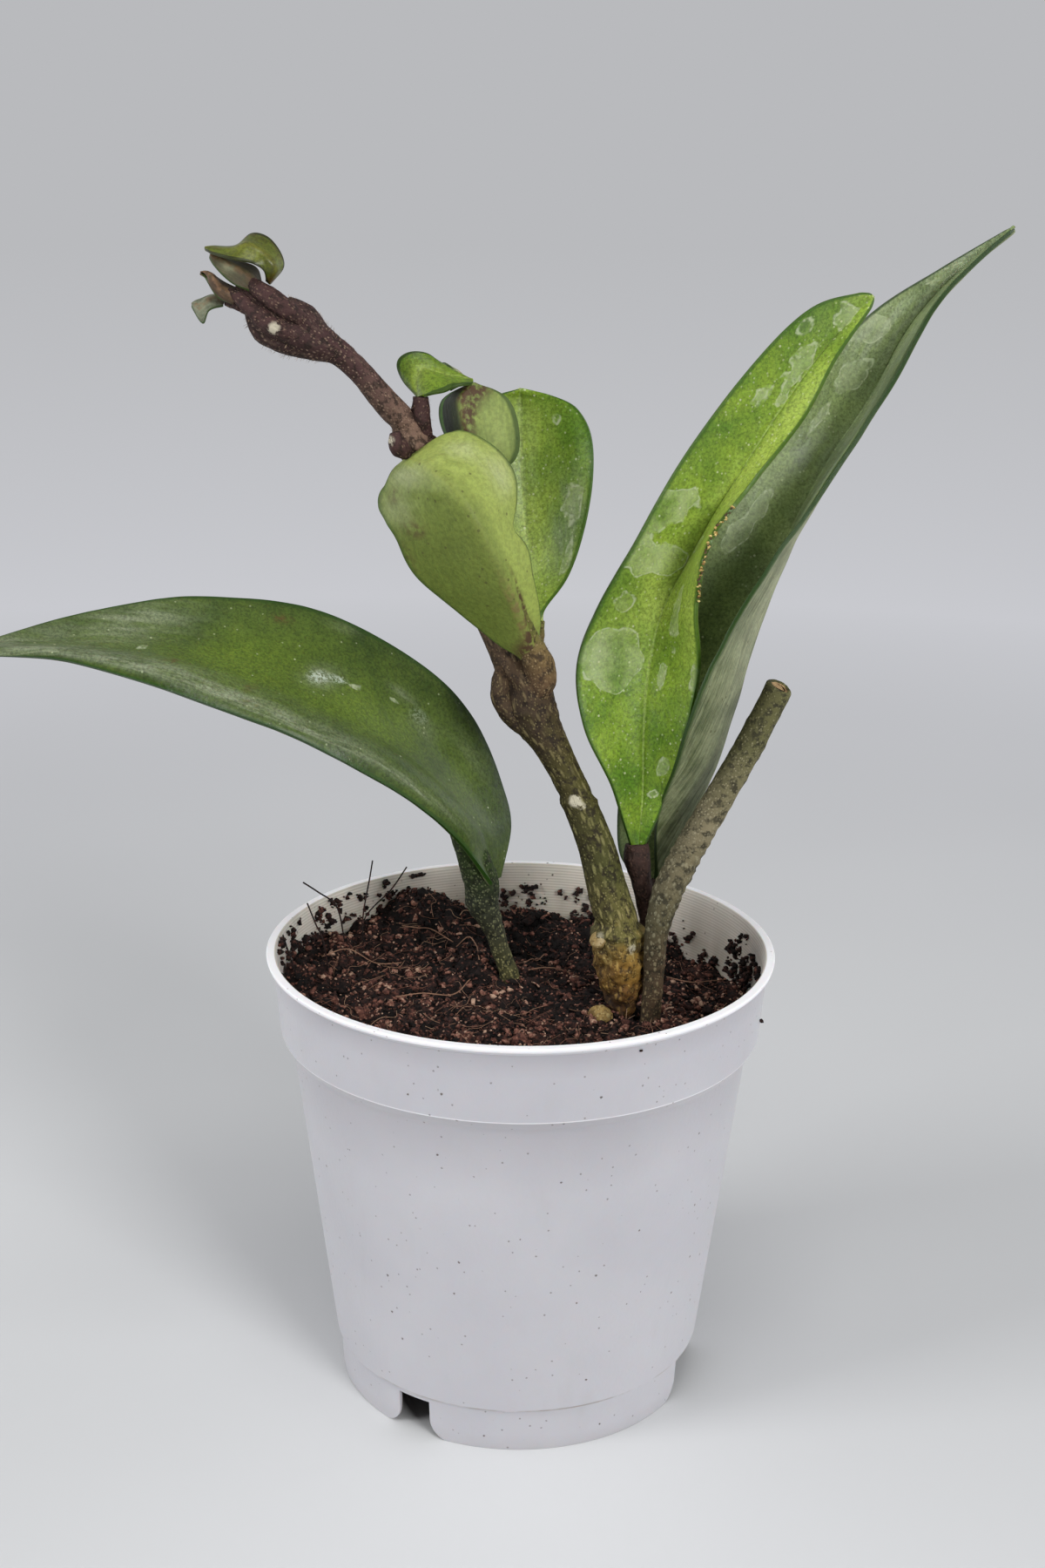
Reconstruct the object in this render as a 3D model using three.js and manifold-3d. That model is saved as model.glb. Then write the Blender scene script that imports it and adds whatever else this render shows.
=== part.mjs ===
// A potted hoya: a white nursery pot filled with coco peat, one climbing shoot, one cut stem,
// and thick leaves on short petioles.
// Millimetres, +Z up. The origin is on the pot's axis, on the surface that it stands on.
// -Y is the side that the plant is looked at from.

import * as THREE from 'three';
import { mergeVertices } from 'three/addons/utils/BufferGeometryUtils.js';
import Module from 'manifold-3d';

const wasm = await Module();
wasm.setup();

// ---------- driving dimensions ----------

const GAP = 0.3; // air left between pieces that touch

const POT = {
  height: 109,
  rimRadius: 60,
  lipWidth: 2.8,
  lipDepth: 3.6,
  collarTop: 58.2, // outer radius just under the lip
  collarBottom: 56.9,
  collarEdge: 90.3, // height of the step under the collar
  bodyTop: 54.3,
  bodyBottom: 44.6,
  footTop: 43.9,
  footBottom: 43.3,
  floorHeight: 11.2,
  floorThickness: 1.4,
  wall: 1.1,
  segments: 60,
};

// Drainage notches in the foot: where each one is, in degrees round the pot, and half its width.
const NOTCHES = [
  { direction: -123, halfWidth: 4.3 },
  { direction: -14, halfWidth: 10.8 },
  { direction: 119, halfWidth: 4.3 },
];
const NOTCH = { top: 9.6, flareStart: 6.5, flare: 5.2 };

const SOIL = {
  level: 96, // height on the pot's axis
  slopeX: -0.065, // it falls towards +X
  mound: { x: -26, y: 46, height: 6, spread: 12 },
  rippleHeight: 0.8,
  ripplePitch: 5.5,
  rings: 7,
  segments: 48,
};

const BLADE = { large: 1.9, medium: 1.5, small: 1.1, edgeShare: 0.5 };

// ---------- colours ----------

const FINISH = {
  pot: { color: 0xf1f0f4, roughness: 0.42 },
  soil: { color: 0x3a211b, roughness: 0.95 },
  oldStem: { color: 0x6d6332, roughness: 0.75 },
  cutStem: { color: 0x615c3d, roughness: 0.8 },
  darkLeaf: { color: 0x45602a, roughness: 0.38 },
  brightLeaf: { color: 0x7aa32f, roughness: 0.36 },
  paleLeaf: { color: 0x8d9c4c, roughness: 0.5 },
  youngStem: { color: 0x5a4740, roughness: 0.85 },
};

// ---------- stems: rows of x, y, z and radius, from the lowest end to the highest ----------

const MAIN_STEM = [
  [24, -8, 79, 5.6], [23.5, -7, 94, 5.6], [23, -6.5, 104, 5.9], [23, -6, 110, 6.4],
  [22, -5, 116.5, 5.0], [20, -4, 124.5, 4.6], [17.5, -3, 134, 4.2], [13.5, -2, 144, 3.9],
  [10, -1, 151.5, 3.6], [6, 0, 159, 4.2], [2.5, 1, 165, 5.4], [0.5, 2, 170.5, 6.0],
  [-2.5, 4, 176, 4.5], [-6, 6, 181, 3.1], [-10.5, 9, 189.5, 2.7], [-16, 11, 201.5, 2.7],
  [-20.5, 10, 213.5, 2.9], [-23.5, 8, 222, 3.6], [-25.5, 6, 227, 4.4], [-27.5, 5, 231, 3.2],
  [-32, 3, 236.5, 2.9], [-37, 2, 242.5, 2.6], [-41.5, 1, 246.5, 2.9], [-45.5, 0, 248.5, 4.2],
  [-50, 0, 251, 6.0], [-55, 0, 253, 5.8], [-59.5, 0, 257.5, 3.2], [-63.5, 0, 259, 1.6],
];

const CUT_STEM = [
  [30.5, -12, 79.5, 2.4], [30.5, -11, 92.5, 2.4], [31, -10.5, 105.5, 2.4],
  [31.5, -10, 116.5, 2.8], [33.5, -8, 124.5, 3.5], [37.5, -6, 133, 3.6], [42, -5, 141.5, 3.5],
  [51, -3, 158, 3.3], [59, -1, 174.5, 3.1],
];

const ARCHING_LEAF_STEM = [
  [0.5, 6, 80, 2.2], [-2, 6, 95.5, 2.3], [-3.5, 6, 103, 2.3], [-6.5, 6, 115, 2.6],
  [-8.5, 6, 120, 3.2], [-9.5, 6, 124.5, 3.6],
];

const BRIGHT_LEAF_PETIOLE = [
  [27, -5, 111, 1.8], [29.5, -3, 115.5, 1.8], [29, -2, 119.5, 1.9], [28, -1, 126, 2.4],
  [27, -1, 131, 2.7], [26.5, -1, 134, 2.2],
];

const FOLDED_LEAF_PETIOLE = [
  [33, -6, 121.5, 2.0], [32.5, 0, 121.5, 2.2], [32.5, 4, 122.5, 2.2], [32.5, 5, 124, 1.8],
];

const HOODED_LEAF_PETIOLE = [
  [2, 0, 168.5, 3.0], [4, -1, 174.5, 3.6], [3.5, -2, 179.5, 3.1], [3, -2, 182.5, 2.4],
];

const ROUND_LEAF_PETIOLE = [
  [1, 5, 173.5, 2.2], [2.5, 7, 179, 2.0], [3, 5, 186, 1.6],
];

const CURLED_LEAF_PETIOLE = [
  [-24.5, 7, 226, 1.8], [-19.5, 9, 220.5, 1.6], [-14.5, 8, 218, 1.6], [-11, 6, 218.5, 1.4],
];

const SMALL_LEAF_PETIOLE = [
  [-23, 6, 227.5, 2.2], [-23.5, 5, 232, 2.2], [-23.5, 5, 236.5, 1.8],
];

const AXIL_BUD = [
  [-2.5, 0, 166, 1.8], [-5, -1, 169.5, 3.2], [-5.5, 0, 173, 2.8], [-5.5, 1, 175.5, 1.2],
];

// ---------- leaves: sections from the petiole to the tip, each from one margin to the other ----------

const ARCHING_LEAF = [
  [[-5, 9, 123.5], [-8, 6, 124.5], [-11, 3, 125.5], [-12.5, 2, 126]],
  [[-3, 14, 134.5], [-7, 8, 133.5], [-13, -3, 138], [-15.5, -5, 134.5]],
  [[-6, 17, 146], [-13.5, 8, 145], [-21.5, -9, 148.5], [-24.5, -12, 147.5]],
  [[-14.5, 18, 163], [-25, 6, 158], [-34, -15, 159], [-36.5, -18, 157]],
  [[-30, 17, 176.5], [-40, 2, 170.5], [-49, -20, 166.5], [-51, -22, 166]],
  [[-51, 14, 186.5], [-58.5, -2, 178.5], [-65, -22, 174], [-66.5, -24, 172.5]],
  [[-77, 7, 190], [-80, -6, 183], [-83, -24, 181], [-83.5, -25.5, 179]],
  [[-100.5, -6, 188.5], [-101, -14, 184.5], [-100, -25, 184.5], [-100.5, -26, 183.5]],
  [[-118, -24, 186], [-118, -25, 185.5], [-118, -26, 185], [-118, -26, 184]],
];

const BRIGHT_LEAF = [
  [[25, -1, 134], [27, 0, 133.5], [28.5, -1, 133]],
  [[21, -2, 148], [28, 2, 145], [33, -1, 146]],
  [[14, -2, 163], [28, 4, 158.5], [37, -4, 162]],
  [[12, 0, 177], [29, 7, 175.5], [39.5, -4, 177.5]],
  [[16.5, 1, 190], [32, 9, 188], [38.5, -4, 191.5]],
  [[24, 3, 203.5], [37.5, 11, 199], [40.5, -2, 205]],
  [[33.5, 7, 220.5], [46, 13, 214.5], [50.5, 6, 217.5]],
  [[47.5, 11, 240], [57.5, 16, 233], [62.5, 11, 232.5]],
  [[63.5, 15, 256], [67.5, 18, 247], [69.5, 14, 245.5]],
  [[76.5, 18, 259.5], [77.5, 19, 258.5], [78, 18, 257.5]],
];

const FOLDED_LEAF = [
  [[31, 5, 123.5], [32.5, 5, 123.5], [33.5, 4, 124.5]],
  [[24, 9, 127.5], [37.5, 5, 135.5], [34, -4, 141]],
  [[23, 13, 144], [43.5, 8, 149], [35.5, -10, 156.5]],
  [[25, 17, 162], [48.5, 11, 164], [38.5, -12, 172]],
  [[31, 19, 178.5], [53.5, 15, 181.5], [44.5, -10, 186]],
  [[40, 21, 198], [61, 21, 201], [54, -6, 201.5]],
  [[52.5, 25, 219], [70.5, 27, 219], [68.5, 5, 219.5]],
  [[65.5, 30, 238.5], [81, 35, 234], [82, 17, 238]],
  [[80, 37, 253], [91.5, 42, 251], [95.5, 33, 257]],
  [[98.5, 47, 263.5], [104.5, 50, 263.5], [105.5, 45, 264.5]],
  [[116, 57, 272.5], [116.5, 57, 272], [116, 56, 271.5]],
];

const HOODED_LEAF = [
  [[2, -1, 181], [3, -2, 182.5], [4, -1, 183]],
  [[-6.5, -1, 184.5], [-0.5, -8, 191], [3, -4, 190.5]],
  [[-18, -3, 192.5], [-4.5, -13, 199.5], [1, -6, 201]],
  [[-26.5, -4, 202], [-8, -16, 207.5], [-2, -6, 211]],
  [[-30.5, -3, 210], [-12, -17, 215], [-2.5, -5, 219.5]],
  [[-31.5, -1, 215.5], [-17, -14, 220.5], [-7.5, -3, 227.5]],
  [[-30, 1, 220], [-23, -6, 223], [-16, 0, 229.5]],
  [[-28, 3, 222], [-26.5, 2, 223], [-25, 3, 224]],
];

const ROUND_LEAF = [
  [[2, 4, 186], [3, 5, 186], [3.5, 4, 187]],
  [[-7.5, 11, 195.5], [1.5, 14, 197], [10.5, 8, 197.5]],
  [[-13.5, 17, 212.5], [-0.5, 20, 212], [15, 12, 216.5]],
  [[-13.5, 20, 228], [-1.5, 22, 226], [14, 16, 229]],
  [[-10, 21, 234.5], [-1.5, 22, 234.5], [8, 19, 235.5]],
  [[-5, 21, 236.5], [-1.5, 21, 236.5], [2.5, 21, 236.5]],
];

const CURLED_LEAF = [
  [[-13, 7, 219], [-11, 5, 219], [-9.5, 6, 219]],
  [[-17.5, 11, 225], [-12.5, 2, 225.5], [-3.5, 7, 222.5]],
  [[-20, 13, 231], [-13.5, 1, 232.5], [-2.5, 8, 229]],
  [[-19, 10, 235], [-13.5, 2, 235.5], [-6, 8, 235.5]],
  [[-14, 7, 238], [-12.5, 6, 238], [-11, 7, 238]],
];

const SMALL_LEAF = [
  [[-24.5, 7, 236.5], [-23.5, 5, 236.5], [-22.5, 3, 237]],
  [[-28, 10, 240], [-24.5, 7, 239], [-20.5, 2, 237.5]],
  [[-28.5, 12, 244], [-23.5, 9, 242], [-18, 2, 238]],
  [[-24.5, 13, 246], [-20.5, 9, 241.5], [-16, 2, 239]],
  [[-20, 12, 243.5], [-16, 7, 240.5], [-13.5, 3, 239.5]],
  [[-12.5, 7, 240], [-12, 6, 240], [-11.5, 5, 239.5]],
];

const TIP_LEAF_UPPER = [
  [[-55.5, 0, 261], [-56, -1, 261], [-56, -2, 261.5]],
  [[-52.5, -1, 265], [-54.5, -4, 264.5], [-56.5, -5, 264]],
  [[-55.5, 1, 270], [-56.5, -4, 267], [-58.5, -6, 265.5]],
  [[-59.5, 3, 271], [-60, -3, 268.5], [-61.5, -6, 266]],
  [[-63, 3, 268.5], [-63.5, -2, 267.5], [-64.5, -5, 266.5]],
  [[-69, 1, 268.5], [-69.5, 0, 268], [-69, -1, 267.5]],
];

const TIP_LEAF_INNER = [
  [[-57.5, 1, 260.5], [-58.5, -1, 260], [-59.5, -3, 259.5]],
  [[-58.5, 1, 264], [-60.5, -2, 262.5], [-63, -4, 261]],
  [[-63, 1, 265.5], [-64, -2, 264.5], [-65.5, -4, 263]],
  [[-68.5, 1, 267], [-68.5, 0, 266.5], [-68.5, -1, 266]],
];

const TIP_BRACT = [
  [[-62, 0, 259.5], [-62.5, -2, 258], [-63.5, -2, 256.5]],
  [[-65.5, 0, 261], [-66.5, -2, 259.5], [-66.5, -3, 258]],
  [[-68, 0, 262.5], [-68, -1, 262], [-68.5, -2, 260.5]],
  [[-70, 0, 264], [-70.5, 0, 263], [-69.5, -1, 262.5]],
];

const TIP_LEAF_LOWER = [
  [[-65.5, 3, 257], [-66, 2, 256.5], [-66, 1, 256]],
  [[-68.5, 4, 258], [-68.5, 2, 257], [-69, 0, 255]],
  [[-71.5, 4, 257], [-71, 1, 255.5], [-70, -2, 252.5]],
  [[-73.5, 3, 256.5], [-73, 2, 256], [-73, 1, 255.5]],
];

// ---------- solids ----------

// A closed geometry as a solid that can be cut and joined.
function solidFrom(geometry) {
  const bare = geometry.clone();
  bare.deleteAttribute('normal');
  bare.deleteAttribute('uv');
  const merged = mergeVertices(bare, 1e-4);
  return new wasm.Manifold(new wasm.Mesh({
    numProp: 3,
    vertProperties: new Float32Array(merged.attributes.position.array),
    triVerts: new Uint32Array(merged.index.array),
  }));
}

// The largest separate body of a solid, as a geometry.
function geometryFrom(solid) {
  const bodies = solid.decompose();
  bodies.sort((a, b) => b.volume() - a.volume());
  const mesh = bodies[0].getMesh();
  const geometry = new THREE.BufferGeometry();
  geometry.setAttribute('position', new THREE.BufferAttribute(mesh.vertProperties, 3));
  geometry.setIndex(new THREE.BufferAttribute(mesh.triVerts, 1));
  geometry.computeVertexNormals();
  return geometry;
}

function withoutNeighbours(geometry, neighbours) {
  let solid = solidFrom(geometry);
  for (const neighbour of neighbours) {
    solid = solid.subtract(solidFrom(neighbour));
  }
  return geometryFrom(solid);
}

function spline(points) {
  return new THREE.CatmullRomCurve3(points, false, 'centripetal');
}

// A round stem whose radius changes along its route: a cylinder bent along the route.
// extra makes it fatter all round, for the clearance in a neighbour.
function stem(route, { sides = 12, ringsPerRow = 2, extra = 0 } = {}) {
  const axis = spline(route.map(([x, y, z]) => new THREE.Vector3(x, y, z)));
  const girth = spline(route.map(([, , , radius], row) => new THREE.Vector3(row, radius, 0)));
  const rings = (route.length - 1) * ringsPerRow;
  const frames = [];
  const side = new THREE.Vector3(1, 0, 0);
  for (let ring = 0; ring <= rings; ring++) {
    const tangent = axis.getTangent(ring / rings);
    side.addScaledVector(tangent, -side.dot(tangent)).normalize();
    frames.push({
      centre: axis.getPoint(ring / rings).addScaledVector(tangent, extra * (2 * ring / rings - 1)),
      radius: girth.getPoint(ring / rings).y + extra,
      side: side.clone(),
      across: new THREE.Vector3().crossVectors(side, tangent),
    });
  }
  const geometry = new THREE.CylinderGeometry(1, 1, 1, sides, rings);
  const position = geometry.attributes.position;
  for (let i = 0; i < position.count; i++) {
    const ring = Math.round((position.getY(i) + 0.5) * rings);
    const { centre, radius, side: toSide, across } = frames[ring];
    const place = centre.clone();
    place.addScaledVector(toSide, position.getX(i) * radius);
    place.addScaledVector(across, position.getZ(i) * radius);
    position.setXYZ(i, place.x, place.y, place.z);
  }
  return geometry;
}

// A leaf blade: a thin box whose middle sheet follows the splines through the sections.
// It is thickest at the middle and blunt at its margins.
function blade(sections, thickness, { across = 8, along = 22 } = {}) {
  const lines = sections[0].map((_, column) => (
    spline(sections.map((section) => new THREE.Vector3(...section[column])))
  ));
  const sheet = (u, t) => spline(lines.map((line) => line.getPoint(t))).getPoint(u);
  const clamp = (value) => Math.min(1, Math.max(0, value));
  const step = 0.004;
  const geometry = new THREE.BoxGeometry(1, 1, 1, across, along, 1);
  const position = geometry.attributes.position;
  for (let i = 0; i < position.count; i++) {
    const u = position.getX(i) + 0.5;
    const t = position.getY(i) + 0.5;
    const alongU = sheet(clamp(u + step), t).sub(sheet(clamp(u - step), t));
    const alongT = sheet(u, clamp(t + step)).sub(sheet(u, clamp(t - step)));
    const normal = alongU.cross(alongT).normalize();
    const fromMiddle = Math.abs(2 * u - 1);
    const share = 1 - (1 - BLADE.edgeShare) * fromMiddle ** 2;
    const place = sheet(u, t).addScaledVector(normal, position.getZ(i) * thickness * share);
    position.setXYZ(i, place.x, place.y, place.z);
  }
  return geometry;
}

// ---------- the pot ----------

// Closed outline of half the pot: outside from the foot up, over the lip, down the inside.
function potOutline() {
  const lipInner = POT.rimRadius - POT.lipWidth;
  const rounding = 0.6;
  const skirtInner = POT.footBottom - POT.wall;
  const floorUnder = POT.floorHeight - POT.floorThickness;
  return [
    [0, floorUnder],
    [skirtInner, floorUnder],
    [skirtInner, 0],
    [POT.footBottom, 0],
    [POT.footTop, POT.floorHeight - 0.4],
    [POT.bodyBottom, POT.floorHeight],
    [POT.bodyTop, POT.collarEdge - 3],
    [POT.collarBottom, POT.collarEdge],
    [POT.collarTop, POT.height - POT.lipDepth],
    [POT.rimRadius, POT.height - POT.lipDepth + 1],
    [POT.rimRadius, POT.height - rounding],
    [POT.rimRadius - rounding, POT.height],
    [lipInner + rounding, POT.height],
    [lipInner, POT.height - rounding],
    [POT.collarTop - POT.wall, POT.height - POT.lipDepth],
    [POT.collarBottom - POT.wall, POT.collarEdge],
    [POT.bodyTop - POT.wall, POT.collarEdge - 3],
    [POT.bodyBottom - POT.wall, POT.floorHeight],
    [0, POT.floorHeight],
  ].map(([radius, height]) => new THREE.Vector2(radius, height));
}

// A lathed solid about +Z.
function turned(outline, segments) {
  return new THREE.LatheGeometry(outline, segments).rotateX(Math.PI / 2);
}

// One drainage notch: a square-topped opening with flared feet, pushed through the skirt.
function notchCutter({ direction, halfWidth }) {
  const below = -1;
  const foot = halfWidth + NOTCH.flare;
  const arch = new THREE.Shape();
  arch.moveTo(-foot, below);
  arch.lineTo(-foot, 0);
  arch.quadraticCurveTo(-halfWidth - 1, 0, -halfWidth, NOTCH.flareStart);
  arch.lineTo(-halfWidth, NOTCH.top);
  arch.lineTo(halfWidth, NOTCH.top);
  arch.lineTo(halfWidth, NOTCH.flareStart);
  arch.quadraticCurveTo(halfWidth + 1, 0, foot, 0);
  arch.lineTo(foot, below);
  const depth = 13;
  const cutter = new THREE.ExtrudeGeometry(arch, { depth, bevelEnabled: false, curveSegments: 5 });
  cutter.rotateX(Math.PI / 2); // the arch stands up and is pushed along -Y
  cutter.translate(0, -(POT.footBottom - 5), 0);
  cutter.rotateZ(THREE.MathUtils.degToRad(direction + 90));
  return cutter;
}

function nurseryPot() {
  let solid = solidFrom(turned(potOutline(), POT.segments));
  for (const notch of NOTCHES) {
    solid = solid.subtract(solidFrom(notchCutter(notch)));
  }
  return geometryFrom(solid);
}

// ---------- the soil ----------

function soilHeight(x, y) {
  const { level, slopeX, mound, rippleHeight, ripplePitch } = SOIL;
  const distance = Math.hypot(x - mound.x, y - mound.y);
  const heap = mound.height * Math.exp(-(distance ** 2) / (2 * mound.spread ** 2));
  const ripple = rippleHeight * Math.sin(x / ripplePitch) * Math.cos(y / ripplePitch + 1);
  return level + slopeX * x + heap + ripple;
}

// Inside radius of the pot at a height between its floor and its collar.
function wallRadius(height) {
  const collarFoot = POT.collarEdge - 3;
  const rise = Math.min(1, (height - POT.floorHeight) / (collarFoot - POT.floorHeight));
  const body = POT.bodyBottom + (POT.bodyTop - POT.bodyBottom) * rise;
  return body - POT.wall - GAP;
}

function pottingSoil(buried) {
  const bottom = POT.floorHeight + GAP;
  const brim = POT.collarEdge - 3;
  const outline = [new THREE.Vector2(0, bottom), new THREE.Vector2(wallRadius(bottom), bottom)];
  outline.push(new THREE.Vector2(wallRadius(brim), brim));
  const topRadius = POT.collarBottom - POT.wall - GAP;
  for (let ring = SOIL.rings; ring >= 0; ring--) {
    outline.push(new THREE.Vector2(topRadius * ring / SOIL.rings, POT.height));
  }
  const geometry = turned(outline, SOIL.segments);
  const position = geometry.attributes.position;
  for (let i = 0; i < position.count; i++) {
    if (position.getZ(i) > brim + 1) {
      position.setZ(i, soilHeight(position.getX(i), position.getY(i)));
    }
  }
  return withoutNeighbours(geometry, buried);
}

// ---------- the plant ----------

const potted = new THREE.Group();
potted.name = 'potted_hoya';

function add(name, geometry, { color, roughness }) {
  const material = new THREE.MeshStandardMaterial({ color, roughness, metalness: 0 });
  const mesh = new THREE.Mesh(geometry, material);
  mesh.name = name;
  potted.add(mesh);
}

const clear = (route, options) => stem(route, { extra: GAP, ...options });
const mainClear = clear(MAIN_STEM);
const cutClear = clear(CUT_STEM);

add('nursery_pot', nurseryPot(), FINISH.pot);
add('potting_soil', pottingSoil([mainClear, cutClear, clear(ARCHING_LEAF_STEM)]), FINISH.soil);
add('main_stem', stem(MAIN_STEM), FINISH.oldStem);
add('cut_stem', withoutNeighbours(stem(CUT_STEM), [mainClear]), FINISH.cutStem);
add('arching_leaf_stem', stem(ARCHING_LEAF_STEM, { sides: 10 }), FINISH.oldStem);

// Each petiole is grown from the stem that it stands on; each blade stands on its petiole.
const PETIOLES = [
  ['bright_leaf_petiole', BRIGHT_LEAF_PETIOLE, [mainClear], FINISH.youngStem],
  ['folded_leaf_petiole', FOLDED_LEAF_PETIOLE, [cutClear, clear(BRIGHT_LEAF_PETIOLE)], FINISH.cutStem],
  ['hooded_leaf_petiole', HOODED_LEAF_PETIOLE, [mainClear], FINISH.oldStem],
  ['round_leaf_petiole', ROUND_LEAF_PETIOLE, [mainClear, clear(HOODED_LEAF_PETIOLE)], FINISH.oldStem],
  ['curled_leaf_petiole', CURLED_LEAF_PETIOLE, [mainClear], FINISH.youngStem],
  ['small_leaf_petiole', SMALL_LEAF_PETIOLE, [mainClear], FINISH.youngStem],
  ['axil_bud', AXIL_BUD, [mainClear], FINISH.youngStem],
];
for (const [name, route, neighbours, finish] of PETIOLES) {
  add(name, withoutNeighbours(stem(route, { sides: 10 }), neighbours), finish);
}

const LARGE = { across: 8, along: 22 };
const MEDIUM = { across: 8, along: 14 };
const SMALL = { across: 6, along: 9 };
const LEAVES = [
  ['arching_leaf', ARCHING_LEAF, BLADE.large, LARGE, [ARCHING_LEAF_STEM], FINISH.darkLeaf],
  ['bright_leaf', BRIGHT_LEAF, BLADE.large, LARGE, [BRIGHT_LEAF_PETIOLE], FINISH.brightLeaf],
  ['folded_leaf', FOLDED_LEAF, BLADE.large, LARGE, [FOLDED_LEAF_PETIOLE, CUT_STEM], FINISH.darkLeaf],
  ['hooded_leaf', HOODED_LEAF, BLADE.medium, MEDIUM, [HOODED_LEAF_PETIOLE, MAIN_STEM], FINISH.paleLeaf],
  ['round_leaf', ROUND_LEAF, BLADE.medium, MEDIUM, [ROUND_LEAF_PETIOLE], FINISH.brightLeaf],
  ['curled_leaf', CURLED_LEAF, BLADE.small, SMALL, [CURLED_LEAF_PETIOLE], FINISH.paleLeaf],
  ['small_leaf', SMALL_LEAF, BLADE.small, SMALL, [SMALL_LEAF_PETIOLE], FINISH.brightLeaf],
  ['tip_leaf_upper', TIP_LEAF_UPPER, BLADE.small, SMALL, [MAIN_STEM], FINISH.brightLeaf],
  ['tip_leaf_inner', TIP_LEAF_INNER, BLADE.small, SMALL, [MAIN_STEM], FINISH.paleLeaf],
  ['tip_bract', TIP_BRACT, BLADE.small, SMALL, [MAIN_STEM], FINISH.youngStem],
  ['tip_leaf_lower', TIP_LEAF_LOWER, BLADE.small, SMALL, [MAIN_STEM], FINISH.darkLeaf],
];
for (const [name, sections, thickness, grid, carriers, finish] of LEAVES) {
  const geometry = blade(sections, thickness, grid);
  const neighbours = carriers.map((route) => clear(route));
  add(name, withoutNeighbours(geometry, neighbours), finish);
}

export default potted;
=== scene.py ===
import math
import random

import bmesh
import bpy
from mathutils import Matrix, Vector, noise


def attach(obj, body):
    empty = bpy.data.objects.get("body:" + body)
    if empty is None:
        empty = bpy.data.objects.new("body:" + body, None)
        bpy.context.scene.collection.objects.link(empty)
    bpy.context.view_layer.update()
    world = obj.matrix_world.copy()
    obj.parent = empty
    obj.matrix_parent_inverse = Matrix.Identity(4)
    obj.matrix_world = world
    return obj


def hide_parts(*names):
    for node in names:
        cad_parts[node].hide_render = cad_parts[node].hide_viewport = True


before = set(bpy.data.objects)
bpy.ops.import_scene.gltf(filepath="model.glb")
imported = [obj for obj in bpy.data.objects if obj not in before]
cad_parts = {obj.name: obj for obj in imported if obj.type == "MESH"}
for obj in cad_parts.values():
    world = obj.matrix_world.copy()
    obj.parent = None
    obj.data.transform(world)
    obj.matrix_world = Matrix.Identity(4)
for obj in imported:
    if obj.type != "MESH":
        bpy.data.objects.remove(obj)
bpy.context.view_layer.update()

MM = 0.001

# ---------- driving dimensions: the pot and the soil ----------

RIM_RADIUS = 60.0
POT_HEIGHT = 109.0
COLLAR_EDGE = 90.3
COLLAR_INSIDE = 55.95  # inner radius at the collar's edge
COLLAR_FLARE = 0.085  # how much the collar's radius grows with each millimetre of height
FLOOR_HEIGHT = 11.2
FOOT_RADIUS = 42.8
WALL = 0.9
LATHE_STEPS = 240
NOTCH_TOP = 9.6
NOTCH_ROUNDING = 5.0
NOTCHES = [(-123, 4.3), (-14, 10.8), (119, 4.3)]  # degrees round the foot, half width

SOIL_LEVEL = 96.0
SOIL_SLOPE = -0.065
SOIL_RADIUS = 56.2
SOIL_UNDERSIDE = 86.0
SOIL_MOUNDS = [  # x, y, height, spread
    (-26, 46, 7.0, 11), (-46, 12, 1.5, 14), (-10, 12, 3.4, 9), (40, 26, -2.0, 12),
    (38, -26, 1.6, 11), (6, 30, -3.2, 12), (-14, -30, 1.2, 15),
]

# ---------- driving dimensions: stems, as rows of x, y, z and radius ----------

MAIN_STEM = [
    (24, -8, 79, 5.6), (23.5, -7, 94, 5.6), (23, -6.5, 104, 5.9), (23, -6, 110, 6.4),
    (22, -5, 116.5, 5.0), (20, -4, 124.5, 4.6), (17.5, -3, 134, 4.2), (13.5, -2, 144, 3.9),
    (10, -1, 151.5, 3.6), (6, 0, 159, 4.2), (2.5, 1, 165, 5.4), (0.5, 2, 170.5, 6.0),
    (-2.5, 4, 176, 4.5), (-6, 6, 181, 3.1), (-10.5, 9, 189.5, 2.7), (-16, 11, 201.5, 2.7),
    (-20.5, 10, 213.5, 2.9), (-23.5, 8, 222, 3.6), (-25.5, 6, 227, 4.4), (-27.5, 5, 231, 3.2),
    (-32, 3, 236.5, 2.9), (-37, 2, 242.5, 2.6), (-41.5, 1, 246.5, 2.9), (-45.5, 0, 248.5, 4.2),
    (-50, 0, 251, 6.0), (-55, 0, 253, 5.8), (-59.5, 0, 257.5, 3.2), (-63.5, 0, 259, 1.6),
]
CUT_STEM = [
    (30.5, -12, 79.5, 2.4), (30.5, -11, 92.5, 2.4), (31, -10.5, 105.5, 2.4), (31.5, -10, 116.5, 2.8),
    (33.5, -8, 124.5, 3.5), (37.5, -6, 133, 3.6), (42, -5, 141.5, 3.5), (51, -3, 158, 3.3),
    (59, -1, 174.5, 3.1),
]
ARCHING_LEAF_STEM = [
    (0.5, 6, 80, 2.2), (-2.1, 6, 96, 2.4), (-3.1, 6, 100.2, 2.3), (-4.7, 6, 104.4, 2.2),
    (-5.8, 6, 108.7, 2.3), (-7.5, 6, 113, 2.9), (-9.2, 6, 117.2, 3.9), (-9.4, 5.5, 121.8, 4.1),
    (-11, 4, 128, 3.9), (-13.2, 2.2, 134, 3.1), (-16.5, 0, 141, 1.8), (-20, -3, 148, 0.6),
]
BRIGHT_LEAF_PETIOLE = [
    (27, -5, 111, 1.8), (29.5, -3, 115.5, 1.8), (29, -2, 119.5, 1.9), (28, -1, 126, 2.4),
    (27, -1, 131, 3.1), (26.8, -0.5, 134.5, 2.7),
]
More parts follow.
